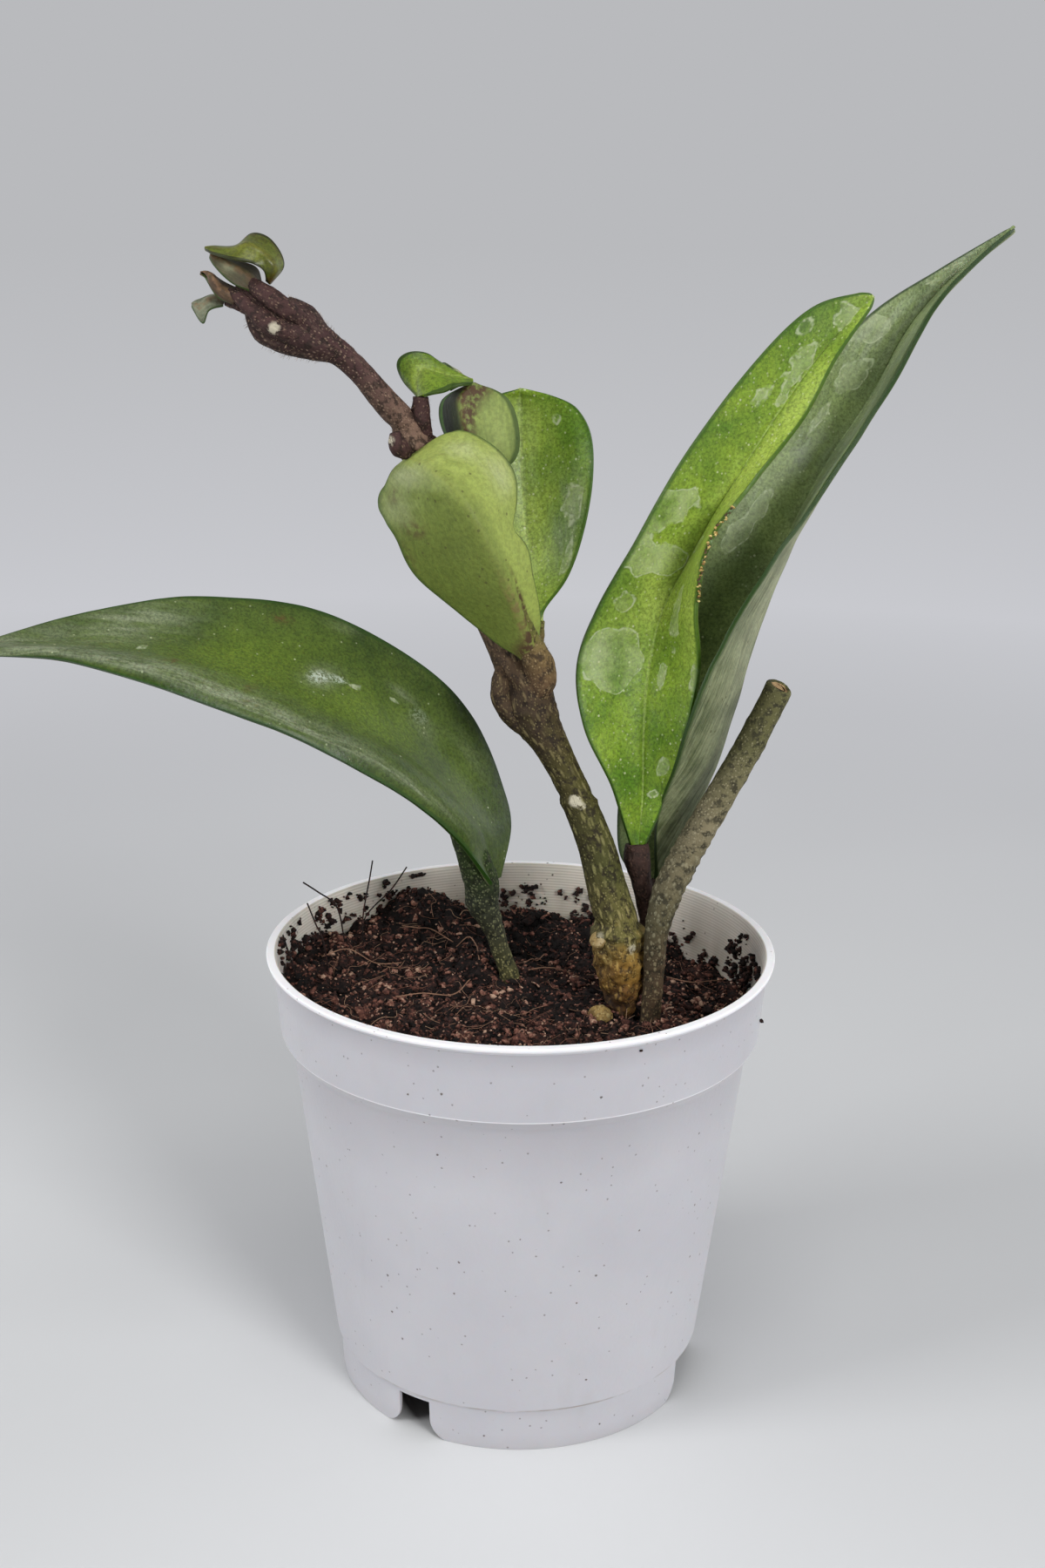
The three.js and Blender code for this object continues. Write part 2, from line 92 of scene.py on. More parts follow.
FOLDED_LEAF_PETIOLE = [
    (33, -6, 121.5, 2.0), (32.5, 0, 121.5, 2.2), (32.5, 4, 122.5, 2.2), (32.5, 5, 124, 1.8),
]
HOODED_LEAF_PETIOLE = [
    (2, 0, 168.5, 3.0), (3.9, -1, 174.5, 3.6), (2.7, -2, 179.5, 3.3), (1.4, -3, 183.5, 2.4),
]
ROUND_LEAF_PETIOLE = [(1, 5, 173.5, 2.2), (2.5, 7, 179, 2.0), (3, 5, 186, 1.6)]
CURLED_LEAF_PETIOLE = [
    (-24.5, 7, 226, 1.8), (-19.5, 9, 220.5, 1.6), (-14.5, 8, 218, 1.6), (-11, 6, 218.5, 1.4),
]
SMALL_LEAF_PETIOLE = [(-23, 6, 227.5, 2.2), (-23.5, 5, 232, 2.2), (-23.5, 5, 236.5, 1.8)]
AXIL_BUD = [
    (1.6, 0.2, 160.5, 1.8), (-3.2, -0.8, 166.0, 2.3), (-5.2, -1, 169.7, 2.2), (-5.4, -0.5, 173, 2.0),
    (-5.6, 1, 176.3, 0.9),
]
# the hooded leaf's petiole runs on as a rib
HOODED_LEAF_RIB = [(0.9, -5.2, 187, 1.5), (-0.2, -7.6, 190.6, 0.8), (-1.8, -10, 194.2, 0.3)]
FREE_STALKS = [  # sheaths, young stalks and scars that only this model has: name, rows, skin and slot
    ("inner_leaf_sheath", [
        (-48.5, -3.6, 253.5, 1.6), (-52, -4.4, 256, 2.2), (-55.5, -3.6, 258.4, 2.2), (-58.5, -2, 260.3, 1.8),
        (-60.4, -1.5, 261.8, 1.0),
    ], "downy_shoot_skin", "young_stem"),
    ("bract_sheath", [
        (-49.5, -4.6, 250.2, 1.4), (-53.5, -5.2, 251.8, 2.0), (-58, -4, 254.8, 1.9),
        (-62.4, -2.4, 258.2, 1.3), (-64.5, -2, 259.4, 0.7),
    ], "downy_shoot_skin", "young_stem"),
    ("lower_leaf_stalk", [
        (-57, -1, 253.6, 1.2), (-61, 0, 255.2, 0.9), (-65.5, 2, 256.6, 0.7),
    ], "downy_shoot_skin", "young_stem"),
    ("side_bud_at_the_node", [
        (-26.4, 0.5, 224.6, 1.6), (-28.2, -1.2, 226.6, 2.1), (-28.9, -1.4, 229.4, 1.2),
    ], "downy_shoot_skin", "young_stem"),
    ("scar_on_the_foot", [
        (18.9, -8.6, 113.0, 1.5), (18.0, -9.5, 114.0, 2.1), (17.6, -10.0, 114.5, 1.9),
    ], "corky_bark", "woody_stem"),
    ("scar_at_the_soil", [
        (20.7, -8.4, 93.9, 2.2), (18.7, -10.5, 95.5, 2.5), (17.8, -11.7, 96.4, 2.1),
    ], "corky_bark", "woody_stem"),
]

# ---------- driving dimensions: leaves, as sections from petiole to tip, each margin to margin ----------

ARCHING_LEAF = [
    [(-5.2, 9, 122.5), (-7.2, 6.5, 122.5), (-8, 4, 123), (-7, 0.8, 123.6)],
    [(-3, 14, 134.5), (-7, 8, 133.5), (-12.2, -1.5, 137), (-14, -5, 135.3)],
    [(-6, 17, 146), (-13.5, 8, 145), (-21.5, -9, 148.5), (-24.5, -12, 147.5)],
    [(-14.5, 18, 163), (-25, 6, 158), (-34, -15, 159), (-36.5, -18, 157)],
    [(-30, 17, 176.5), (-40, 2, 170.5), (-49, -20, 166.5), (-51, -22, 166)],
    [(-51, 14, 186.5), (-58.5, -2, 178.5), (-65, -22, 174), (-66.5, -24, 172.5)],
    [(-77, 7, 190), (-80, -6, 183), (-83, -24, 181), (-83.5, -25.5, 179)],
    [(-100.5, -6, 188.5), (-101, -14, 184.5), (-100, -25, 184.5), (-100.5, -26, 183.5)],
    [(-118, -24, 186), (-118, -25, 185.5), (-118, -26, 185), (-118, -26, 184)],
]
BRIGHT_LEAF = [
    [(25, -1, 134), (27, 0, 133.5), (28.5, -1, 133)],
    [(21, -2, 148), (28, 2, 145), (33, -1, 146)],
    [(14, -2, 163), (28, 4, 158.5), (37, -4, 162)],
    [(12, 0, 177), (29, 7, 175.5), (39.5, -4, 177.5)],
    [(16.5, 1, 190), (32, 9, 188), (38.5, -4, 191.5)],
    [(24, 3, 203.5), (37.5, 11, 199), (40.5, -2, 205)],
    [(33.5, 7, 220.5), (46, 13, 214.5), (50.5, 6, 217.5)],
    [(47.5, 11, 240), (57.5, 16, 233), (62.5, 11, 232.5)],
    [(63.5, 15, 256), (67.5, 18, 247), (69.5, 14, 245.5)],
    [(76.5, 18, 259.5), (77.5, 19, 258.5), (78, 18, 257.5)],
]
FOLDED_LEAF = [
    [(30, 5, 123.5), (32.5, 5, 123.5), (31.5, 3, 124.5)],
    [(24, 9, 127.5), (37.5, 5, 135.5), (31.5, 1, 141)],
    [(23, 13, 144), (43.5, 8, 149), (35, -8, 156.5)],
    [(25, 17, 162), (48.5, 11, 164), (38.5, -12, 172)],
    [(31, 19, 178.5), (53.5, 15, 181.5), (44.5, -10, 186)],
    [(40, 21, 198), (61, 21, 201), (54, -6, 201.5)],
    [(52.5, 25, 219), (70.5, 27, 219), (68.5, 5, 219.5)],
    [(65.5, 30, 238.5), (81, 35, 234), (82, 17, 238)],
    [(80, 37, 253), (91.5, 42, 251), (95.5, 33, 257)],
    [(98.5, 47, 263.5), (104.5, 50, 263.5), (105.5, 45, 264.5)],
    [(116, 57, 272.5), (116.5, 57, 272), (116, 56, 271.5)],
]
HOODED_LEAF = [
    [(-1.2, -1.5, 178), (1.6, -3.4, 181), (3.8, -1.6, 182.5)],
    [(-7.2, -1, 183), (-1, -8, 190), (3.4, -4, 190)],
    [(-18, -3, 192.5), (-4.5, -13, 199.5), (1, -6, 201)],
    [(-26.5, -4, 202), (-8, -16, 207.5), (-2, -6, 211)],
    [(-30.5, -3, 210), (-12, -17, 215), (-2.5, -5, 219.5)],
    [(-31.5, -1, 215.5), (-17, -14, 220.5), (-7.5, -3, 227.5)],
    [(-30, 1, 220), (-23, -6, 223), (-16, 0, 229.5)],
    [(-28, 3, 222), (-26.5, 2, 223), (-25, 3, 224)],
]
ROUND_LEAF = [
    [(2, 4, 186), (3, 5, 186), (3.5, 4, 187)],
    [(-7.5, 11, 195.5), (1.5, 14, 197), (10.5, 8, 197.5)],
    [(-13.5, 17, 212.5), (-0.5, 20, 212), (15, 12, 216.5)],
    [(-13.5, 20, 228), (-1.5, 22, 226), (14, 16, 229)],
    [(-10, 21, 234.5), (-1.5, 22, 234.5), (8, 19, 235.5)],
    [(-5, 21, 236.5), (-1.5, 21, 236.5), (2.5, 21, 236.5)],
]
CURLED_LEAF = [
    [(-13, 7, 219), (-11, 5, 219), (-9.5, 6, 219)],
    [(-17, 11, 225), (-12.3, 2, 225.5), (-3, 7, 222.5)],
    [(-19.5, 12, 231), (-13.5, 1.5, 231.5), (-2.3, 8, 229)],
    [(-19, 11, 235), (-14.2, 3, 236), (-4.6, 8, 236)],
    [(-12.8, 7, 239.2), (-12, 6, 239.6), (-10.6, 7, 239.3)],
]
SMALL_LEAF_BEHIND = [
    [(-18.9, 10, 238.7), (-17.9, 9, 238.2), (-16.9, 8, 237.7)],
    [(-19.9, 12, 241.7), (-17.9, 11, 240.2), (-15.4, 10, 238.2)],
    [(-18.9, 12, 243.4), (-16.4, 11, 241.4), (-13.9, 10, 238.6)],
    [(-15.6, 10, 241.0), (-14.2, 9.5, 239.8), (-13.0, 9, 238.4)],
    [(-12.6, 8, 239.2), (-12.2, 8, 238.9), (-11.9, 8, 238.6)],
]
SMALL_LEAF = [
    [(-24.5, 7, 236.5), (-23.5, 5, 236.5), (-22.5, 3, 237)],
    [(-28, 10, 240), (-24.5, 7, 239), (-20.5, 2, 237.5)],
    [(-28.5, 12, 244), (-23.5, 9, 242), (-18, 2, 238)],
    [(-24.5, 13, 246), (-20.5, 9, 241.5), (-16, 2, 239)],
    [(-20, 12, 243.5), (-16, 7, 240.5), (-13.5, 3, 239.5)],
    [(-12.5, 7, 240), (-12, 6, 240), (-11.5, 5, 239.5)],
]
TIP_LEAF_UPPER = [
    [(-55.5, 0, 261), (-56, -1, 261), (-56, -2, 261.5)],
    [(-52.5, -1, 265), (-54.5, -4, 264.5), (-56.5, -5, 264)],
    [(-55.5, 1, 270), (-56.5, -4, 267), (-58.5, -6, 265.5)],
    [(-59.5, 3, 271), (-60, -3, 268.5), (-61.5, -6, 266)],
    [(-63, 3, 268.5), (-63.5, -2, 267.5), (-64.5, -5, 266.5)],
    [(-69, 1, 268.5), (-69.5, 0, 268), (-69, -1, 267.5)],
]
TIP_LEAF_INNER = [
    [(-57.5, 1, 260.5), (-58.5, -1, 260), (-59.5, -3, 259.5)],
    [(-58.5, 1, 264), (-60.5, -2, 262.5), (-63, -4, 261)],
    [(-63, 1, 265.5), (-64, -2, 264.5), (-65.5, -4, 263)],
    [(-68.5, 1, 267), (-68.5, 0, 266.5), (-68.5, -1, 266)],
]
TIP_BRACT = [
    [(-62, 0, 259.5), (-62.5, -2, 258), (-63.5, -2, 256.5)],
    [(-65.5, 0, 261), (-66.5, -2, 259.5), (-66.5, -3, 258)],
    [(-68, 0, 262.5), (-68, -1, 262), (-68.5, -2, 260.5)],
    [(-70, 0, 264), (-70.5, 0, 263), (-69.5, -1, 262.5)],
]
TIP_LEAF_LOWER = [
    [(-65.5, 3, 257), (-66, 2, 256.5), (-66, 1, 256)],
    [(-68.5, 4, 258), (-68.5, 2, 257), (-69, 0, 255)],
    [(-71.5, 4, 257), (-71, 1, 255.5), (-70, -2, 252.5)],
    [(-73.5, 3, 256.5), (-73, 2, 256), (-73, 1, 255.5)],
]


# ---------- small helpers ----------

def linear(hex_colour):
    """An sRGB hex colour as linear RGBA."""
    parts = [int(hex_colour[i:i + 2], 16) / 255 for i in (1, 3, 5)]
    return [c / 12.92 if c <= 0.04045 else ((c + 0.055) / 1.055) ** 2.4 for c in parts] + [1.0]


def grain(place, size):
    """Smooth noise from -1 to 1 at a place in metres, with lumps of a size in millimetres."""
    return noise.noise(place / (size * MM))


def bell(distance, reach):
    """1 at no distance, fading out past reach."""
    return math.exp(-(distance / reach) ** 2)


def spline(points, t):
    """The point at t, from 0 to 1, on a smooth curve through the points."""
    last = len(points) - 1
    i = min(int(t * last), last - 1)
    w = t * last - i
    p1, p2 = points[i], points[i + 1]
    p0 = points[i - 1] if i else 2 * p1 - p2
    p3 = points[i + 2] if i + 2 <= last else 2 * p2 - p1
    d0, d1, d2 = (max((b - a).length, 1e-9) ** 0.5 for a, b in ((p0, p1), (p1, p2), (p2, p3)))
    m1 = ((p1 - p0) / d0 - (p2 - p0) / (d0 + d1) + (p2 - p1) / d1) * d1
    m2 = ((p2 - p1) / d1 - (p3 - p1) / (d1 + d2) + (p3 - p2) / d2) * d1
    return p1 + m1 * w + (3 * (p2 - p1) - 2 * m1 - m2) * w ** 2 + (2 * (p1 - p2) + m1 + m2) * w ** 3


def heading(points, t, nudge):
    """The direction of that curve at t, from the points a nudge before and after it."""
    return (spline(points, min(t + nudge, 1)) - spline(points, max(t - nudge, 0))).normalized()


def finished_mesh(name, bm):
    """A mesh made from a bmesh, which is then freed."""
    mesh = bpy.data.meshes.new(name)
    bm.to_mesh(mesh)
    bm.free()
    return mesh


def placed(name, data):
    """A new object in the scene."""
    made = bpy.data.objects.new(name, data)
    bpy.context.scene.collection.objects.link(made)
    return made


def show(name, bm, materials, stands_for=(), levels=0):
    """Makes a piece of the object from a finished bmesh."""
    mesh = finished_mesh(name, bm)
    for material in materials:
        mesh.materials.append(material)
    mesh.shade_smooth()
    piece = placed(name, mesh)
    if levels:
        smooth = piece.modifiers.new("smooth", "SUBSURF")
        smooth.levels = smooth.render_levels = levels
    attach(piece, "root")
    if stands_for:
        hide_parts(*stands_for)
    return piece


def add_node(tree, kind, *values, out=0, stops=None, **named):
    """Adds a shader node with its settings and links, and gives the chosen output. The values go to its
    inputs in their order; a name with a capital is an input's, and any other is a setting's."""
    made = tree.nodes.new("ShaderNode" + kind)
    inputs = dict(enumerate(values))
    for name, value in named.items():
        if name[0].isupper():
            inputs[name] = value
        else:
            setattr(made, name, value)
    if stops:
        elements = made.color_ramp.elements
        elements.remove(elements[1])
        elements[0].position = stops[0][0]
        elements[0].color = linear(stops[0][1])
        for place, colour in stops[1:]:
            elements.new(place).color = linear(colour)
    for name, value in inputs.items():
        if isinstance(value, bpy.types.NodeSocket):
            tree.links.new(value, made.inputs[name])
        else:
            made.inputs[name].default_value = value
    return made.outputs[out]


def new_material(name, **constants):
    """A material with a Principled shader, its constants set; gives the material, its tree and the shader."""
    material = bpy.data.materials.new(name)
    material.use_nodes = True
    tree = material.node_tree
    shader = tree.nodes["Principled BSDF"]
    for socket, value in constants.items():
        shader.inputs[socket.replace("_", " ")].default_value = value
    return material, tree, shader


def feed(shader, **values):
    """Links node outputs to a shader's inputs."""
    for socket, value in values.items():
        shader.id_data.links.new(value, shader.inputs[socket.replace("_", " ")])


# ---------- camera, light and floor ----------

CAMERA_DISTANCE = 519.0  # from a point CAMERA_AIM up the pot's axis
CAMERA_AIM = 55.0
CAMERA_RISE = 27.14  # degrees above that point
CAMERA_TILT = 9.93  # degrees that the lens looks above it
CAMERA_ROLL = 0.65
LENS = 48.0


def add_camera():
    """The camera, in front of the pot and above it."""
    rise = math.radians(CAMERA_RISE)
    data = bpy.data.cameras.new("camera")
    data.lens = LENS
    data.sensor_width = 36
    data.clip_start = 0.01
    camera = placed("camera", data)
    across = CAMERA_DISTANCE * math.cos(rise)
    camera.location = Vector((0, -across, CAMERA_AIM + CAMERA_DISTANCE * math.sin(rise))) * MM
    down = math.radians(90 - CAMERA_RISE + CAMERA_TILT)
    turn = Matrix.Rotation(down, 3, "X") @ Matrix.Rotation(math.radians(CAMERA_ROLL), 3, "Z")
    camera.rotation_euler = turn.to_euler()
    bpy.context.scene.camera = camera


SOFTBOXES = [  # name, place in metres, size in metres, watts
    ("left_softbox", (-1.40, -0.60, 0.80), 0.6, 12.0),
    ("right_softbox", (0.80, -1.28, 0.70), 0.5, 16.0),
    ("top_softbox", (0.0, -0.50, 1.42), 0.6, 6.0),
]
LIGHT_AIM = Vector((0, 0, 0.12))
BACKGROUND = "#b9babd"
BEHIND_CAMERA = 0.12  # how bright the studio is behind the camera, against the background
OVERHEAD = 0.52  # and overhead
BESIDE = 3.3  # and at the sides


def add_lights():
    """Three softboxes, and a studio whose walls are dim behind the camera and bright at its sides."""
    for name, place, size, watts in SOFTBOXES:
        data = bpy.data.lights.new(name, "AREA")
        data.energy = watts
        data.size = size
        softbox = placed(name, data)
        softbox.location = place
        softbox.rotation_euler = (LIGHT_AIM - Vector(place)).to_track_quat("-Z", "Y").to_euler()
    world = bpy.data.worlds.new("studio")
    world.use_nodes = True
    tree = world.node_tree
    background = tree.nodes["Background"]
    background.inputs["Color"].default_value = linear(BACKGROUND)
    facing = add_node(tree, "SeparateXYZ", add_node(tree, "TexCoord", out="Generated"))
    behind = add_node(tree, "MapRange", facing.node.outputs[1], -0.8, 0.1, BEHIND_CAMERA, 1.0)
    above = add_node(tree, "MapRange", facing.node.outputs[2], 0.1, 0.5, 1.0, OVERHEAD)
    aside = add_node(tree, "Math", facing, operation="ABSOLUTE")
    beside = add_node(tree, "MapRange", aside, 0.40, 0.85, 1.0, BESIDE)
    dimmed = add_node(tree, "Math", behind, above, operation="MULTIPLY")
    strength = add_node(tree, "Math", dimmed, beside, operation="MULTIPLY")
    feed(background, Strength=strength)
    bpy.context.scene.world = world
    bpy.context.scene.view_settings.view_transform = "Standard"


def matt_paper_sweep():
    """Pale matt paper, with a faint unevenness; far away it glows softly, as bright as the background."""
    material, tree, shader = new_material("matt_paper_sweep", Roughness=0.9, Specular_IOR_Level=0.0)
    where = add_node(tree, "TexCoord", out="Object")
    near = add_node(tree, "TexNoise", Vector=where, Scale=3.0, Detail=2.0)
    paper = add_node(tree, "ValToRGB", near, stops=[(0.3, "#cdcecf"), (0.7, "#d5d6d7")])
    distance = add_node(tree, "VectorMath", where, out="Value", operation="LENGTH")
    far = add_node(tree, "MapRange", distance, 0.27, 0.90)
    colour = add_node(tree, "MixRGB", far, paper, linear("#000000"))
    nearness = add_node(tree, "Math", 1.0, distance, operation="DIVIDE")
    farther = add_node(tree, "MapRange", nearness, 1.1, 0.18)
    glow = add_node(tree, "MixRGB", farther, linear("#c8c9ce"), linear(BACKGROUND))
    feed(shader, Base_Color=colour, Emission_Color=glow, Emission_Strength=far)
    return material


def add_floor():
    """A sheet of paper under the pot that runs far beyond the picture."""
    bm = bmesh.new()
    bmesh.ops.create_grid(bm, x_segments=16, y_segments=16, size=6)
    mesh = finished_mesh("floor", bm)
    mesh.materials.append(matt_paper_sweep())
    floor = placed("floor", mesh)


# ---------- the pot ----------

def moulded_polypropylene():
    """White injection-moulded polypropylene: satin, slightly translucent, with dust and faint peat stains,
    painted highlights at the lip and the collar's edge, and painted shade under the collar, the lip and the
    floor.
    """
    material, tree, shader = new_material(
        "moulded_polypropylene", IOR=1.49, Subsurface_Weight=0.12, Subsurface_Scale=0.002, Sheen_Weight=0.3,
    )
    where = add_node(tree, "TexCoord", out="Object")
    split = add_node(tree, "SeparateXYZ", where)
    height = split.node.outputs[2]
    cloud = add_node(tree, "TexNoise", Vector=where, Scale=28.0, Detail=4.0)
    plastic = add_node(tree, "ValToRGB", cloud, stops=[(0.35, "#b4b3b9"), (0.65, "#bbbabf")])
    # the thick lip is paler than the thin wall, which the peat shows through, and carries a painted highlight
    # as well; the line along the collar's moulded edge is a painted highlight
    lip = add_node(tree, "MapRange", height, 107.0 * MM, 108.5 * MM)
    at_collar = add_node(tree, "Math", height, COLLAR_EDGE * MM, 0.2 * MM, operation="COMPARE")
    painted_edge_highlight = add_node(tree, "MapRange", at_collar, 0.0, 1.0, 0.0, 0.6)
    whiter_and_highlit = add_node(tree, "Math", lip, painted_edge_highlight, operation="MAXIMUM")
    plastic = add_node(tree, "MixRGB", whiter_and_highlit, plastic, linear("#f4f3f6"))
    # painted shade: darker bands just under the collar's edge and just under the lip
    for lowest, highest, strength in ((70.0, 90.0, 0.5), (101.0, 106.6, 0.4)):
        rising = add_node(tree, "MapRange", height, lowest * MM, highest * MM, 0.0, strength)
        below = add_node(tree, "Math", height, (highest + 0.2) * MM, operation="LESS_THAN")
        painted_shade_band = add_node(tree, "Math", rising, below, operation="MULTIPLY")
        plastic = add_node(tree, "MixRGB", painted_shade_band, plastic, linear("#9c989d"))
    # faint brown stains, in streaks a few millimetres wide
    drips = add_node(tree, "Mapping", Vector=where, Scale=(1, 1, 0.35))
    stain = add_node(tree, "TexNoise", Vector=drips, Scale=130.0, Detail=3.0)
    stained = add_node(tree, "MapRange", stain, 0.62, 0.80, 0.0, 0.07)
    low = add_node(tree, "MapRange", height, 0.0, 4.0 * MM, 0.12, 0.0)
    dirt = add_node(tree, "Math", stained, low, operation="MAXIMUM")
    ledge = add_node(tree, "Math", height, FLOOR_HEIGHT * MM, 0.25 * MM, operation="COMPARE")
    gathered = add_node(tree, "MapRange", stain, 0.40, 0.62, 0.0, 0.55)
    lined = add_node(tree, "Math", ledge, gathered, operation="MULTIPLY")
    dirt = add_node(tree, "Math", dirt, lined, operation="MAXIMUM")
    # the inside is smeared with peat, most of all near the soil
    flat = add_node(tree, "VectorMath", where, (1, 1, 0), operation="MULTIPLY")
    radius = add_node(tree, "VectorMath", flat, out="Value", operation="LENGTH")
    slope = add_node(tree, "Math", height, -COLLAR_FLARE, radius, operation="MULTIPLY_ADD")
    within = add_node(tree, "Math", slope, 48.8 * MM, operation="LESS_THAN")
    above = add_node(tree, "Math", height, (COLLAR_EDGE + 0.2) * MM, operation="GREATER_THAN")
    inside = add_node(tree, "Math", within, above, operation="MULTIPLY")
    rings = add_node(tree, "Math", height, 0.36 * MM, operation="PINGPONG")
    ringed = add_node(tree, "MapRange", rings, 0.10 * MM, 0.25 * MM)
    beige = add_node(tree, "MixRGB", ringed, linear("#c4beb3"), linear("#ddd8ce"))
    plastic = add_node(tree, "MixRGB", inside, plastic, beige)
    smeared = add_node(tree, "MapRange", height, 96.0 * MM, 106.0 * MM, 0.75, 0.2)
    smear = add_node(tree, "MapRange", stain, 0.30, 0.65, 0.55, 1.0)
    peaty = add_node(tree, "Math", smeared, smear, operation="MULTIPLY")
    peaty = add_node(tree, "Math", peaty, inside, operation="MULTIPLY")
    dirt = add_node(tree, "Math", dirt, peaty, operation="MAXIMUM")
    colour = add_node(tree, "MixRGB", dirt, plastic, linear("#7d7260"))
    # painted shade: inside the foot, under its floor, the pot is painted dark brown
    under = add_node(tree, "Math", height, FLOOR_HEIGHT * MM, operation="LESS_THAN")
    within_foot = add_node(tree, "Math", radius, FOOT_RADIUS * MM, operation="LESS_THAN")
    painted_shade_underneath = add_node(tree, "Math", under, within_foot, operation="MULTIPLY")
    colour = add_node(tree, "MixRGB", painted_shade_underneath, colour, linear("#4a403a"))
    # ragged specks of peat dust, most of them fainter and under half a millimetre
    ragged = add_node(tree, "TexNoise", Vector=where, Scale=2500.0)
    for scale, widest, rarity, strength in ((240.0, 0.11, 0.48, 0.9), (420.0, 0.14, 0.50, 0.55)):
        specks = add_node(tree, "TexVoronoi", out="Distance", Vector=where, Scale=scale)
        rough_edge = add_node(tree, "Math", ragged, 0.12, specks, operation="MULTIPLY_ADD")
        dot = add_node(tree, "MapRange", rough_edge, widest, widest + 0.04, strength, 0.0)
        rare = add_node(tree, "Math", specks.node.outputs["Color"], rarity, operation="GREATER_THAN")
        speck = add_node(tree, "Math", dot, rare, operation="MULTIPLY")
        colour = add_node(tree, "MixRGB", speck, colour, linear("#4a3a30"))
    rough = add_node(tree, "MapRange", cloud, 0.0, 1.0, 0.36, 0.50)
    peel = add_node(tree, "TexNoise", Vector=where, Scale=900.0, Detail=2.0)
    bump = add_node(tree, "Bump", Strength=0.12, Distance=0.0004, Height=peel)
    feed(shader, Base_Color=colour, Roughness=rough, Normal=bump)
    return material


def rounded(corners, steps=4):
    """An outline through corners of radius, height and rounding, with each corner rounded off."""
    outline = []
    for i, (radius, height, rounding) in enumerate(corners):
        corner = Vector((radius, height))
        if not rounding:
            outline.append(corner)
            continue
        before = Vector(corners[i - 1][:2])
        after = Vector(corners[i + 1][:2])
        start = corner + (before - corner).normalized() * rounding
        end = corner + (after - corner).normalized() * rounding
        for step in range(steps + 1):
            s = step / steps
            outline.append(start.lerp(corner, s).lerp(corner.lerp(end, s), s))
    return outline


def inner_wall(height):
    """The radius of the collar's inside in mm, at a height in mm."""
    return COLLAR_INSIDE + COLLAR_FLARE * (height - COLLAR_EDGE)


def pot_corners():
    """Half the pot's outline: outside from the foot up, over the lip, and down the finely ringed inside."""
    corners = [
        (0, FLOOR_HEIGHT - 1.4, 0), (42.5, FLOOR_HEIGHT - 1.4, 0.3), (42.5, 0, 0.2), (43.3, 0, 0.2),
        (43.9, FLOOR_HEIGHT - 0.5, 0.1), (44.7, FLOOR_HEIGHT - 0.2, 0.2), (44.8, FLOOR_HEIGHT + 0.5, 0.3),
        (54.3, COLLAR_EDGE - 3, 1.2),
        (56.9, COLLAR_EDGE, 0.35), (58.3, 106.8, 0.25), (58.8, 107.1, 0.2), (58.9, 107.6, 0.15),
        (59.7, 107.9, 0.2), (RIM_RADIUS, POT_HEIGHT, 0.5), (57.8, POT_HEIGHT, 0.4), (57.6, 108.2, 0.2),
        (57.45, 107.4, 0.2),
    ]
    ring_depth = 0.05
    for height in range(106, 92, -1):
        wall = inner_wall(height)
        corners += [(wall - ring_depth, height, 0), (wall + ring_depth, height - 0.5, 0)]
    corners += [
        (56.9 - WALL, COLLAR_EDGE, 0), (54.3 - WALL, COLLAR_EDGE - 3, 0),
        (44.6 - WALL, FLOOR_HEIGHT, 0), (0, FLOOR_HEIGHT, 0),
    ]
    return corners


def notch_cutters():
    """The solids that the drainage notches are cut with, as one object."""
    bm = bmesh.new()
    curve_steps = 8
    start = 34.0
    length = 14.0
    for direction, half_width in NOTCHES:
        corner = []
        for step in range(curve_steps + 1):
            turn = math.radians(90 * step / curve_steps)
            corner.append((
                half_width + NOTCH_ROUNDING * (1 - math.sin(turn)), NOTCH_ROUNDING * (1 - math.cos(turn)),
            ))
        side = [(half_width + NOTCH_ROUNDING, -1), *corner, (half_width, NOTCH_TOP)]
        outline = [(-x, z) for x, z in side] + [(x, z) for x, z in reversed(side)]
        face = bm.faces.new([bm.verts.new((x * MM, -start * MM, z * MM)) for x, z in outline])
        pushed = bmesh.ops.extrude_face_region(bm, geom=[face])["geom"]
        moved = [v for v in pushed if isinstance(v, bmesh.types.BMVert)]
        bmesh.ops.translate(bm, verts=moved, vec=(0, -length * MM, 0))
        turn = Matrix.Rotation(math.radians(direction + 90), 3, "Z")
        bmesh.ops.rotate(bm, verts=list(face.verts) + moved, cent=(0, 0, 0), matrix=turn)
    bmesh.ops.recalc_face_normals(bm, faces=bm.faces)
    return placed("notch_cutters", finished_mesh("notch_cutters", bm))


def nursery_pot():
    """The pot: its outline turned round the axis, with the notches cut and the sharp edges worn."""
    bm = bmesh.new()
    points = [bm.verts.new((radius * MM, 0, height * MM)) for radius, height in rounded(pot_corners())]
    edges = [bm.edges.new(pair) for pair in zip(points, points[1:])]
    bmesh.ops.spin(
        bm, geom=points + edges, cent=(0, 0, 0), axis=(0, 0, 1), angle=math.tau,
        steps=LATHE_STEPS, use_merge=True,
    )
    bmesh.ops.remove_doubles(bm, verts=bm.verts, dist=1e-6)
    bmesh.ops.recalc_face_normals(bm, faces=bm.faces)
    pot = show("white_nursery_pot", bm, [moulded_polypropylene()], ["nursery_pot"])
    # the notches are cut before the bevel, which rounds their edges too
    cutters = notch_cutters()
    cut = pot.modifiers.new("notches", "BOOLEAN")
    cut.operation = "DIFFERENCE"
    cut.solver = "EXACT"
    cut.object = cutters
    depsgraph = bpy.context.evaluated_depsgraph_get()
    notched = bpy.data.meshes.new_from_object(pot.evaluated_get(depsgraph))
    pot.modifiers.clear()
    pot.data = notched
    bpy.data.objects.remove(cutters)
    edge = pot.modifiers.new("worn_edges", "BEVEL")
    edge.width = 0.14 * MM
    edge.segments = 2
    edge.limit_method = "ANGLE"
    edge.angle_limit = math.radians(50)
    flat = pot.modifiers.new("even_shading", "WEIGHTED_NORMAL")
    flat.keep_sharp = True


# ---------- stems ----------

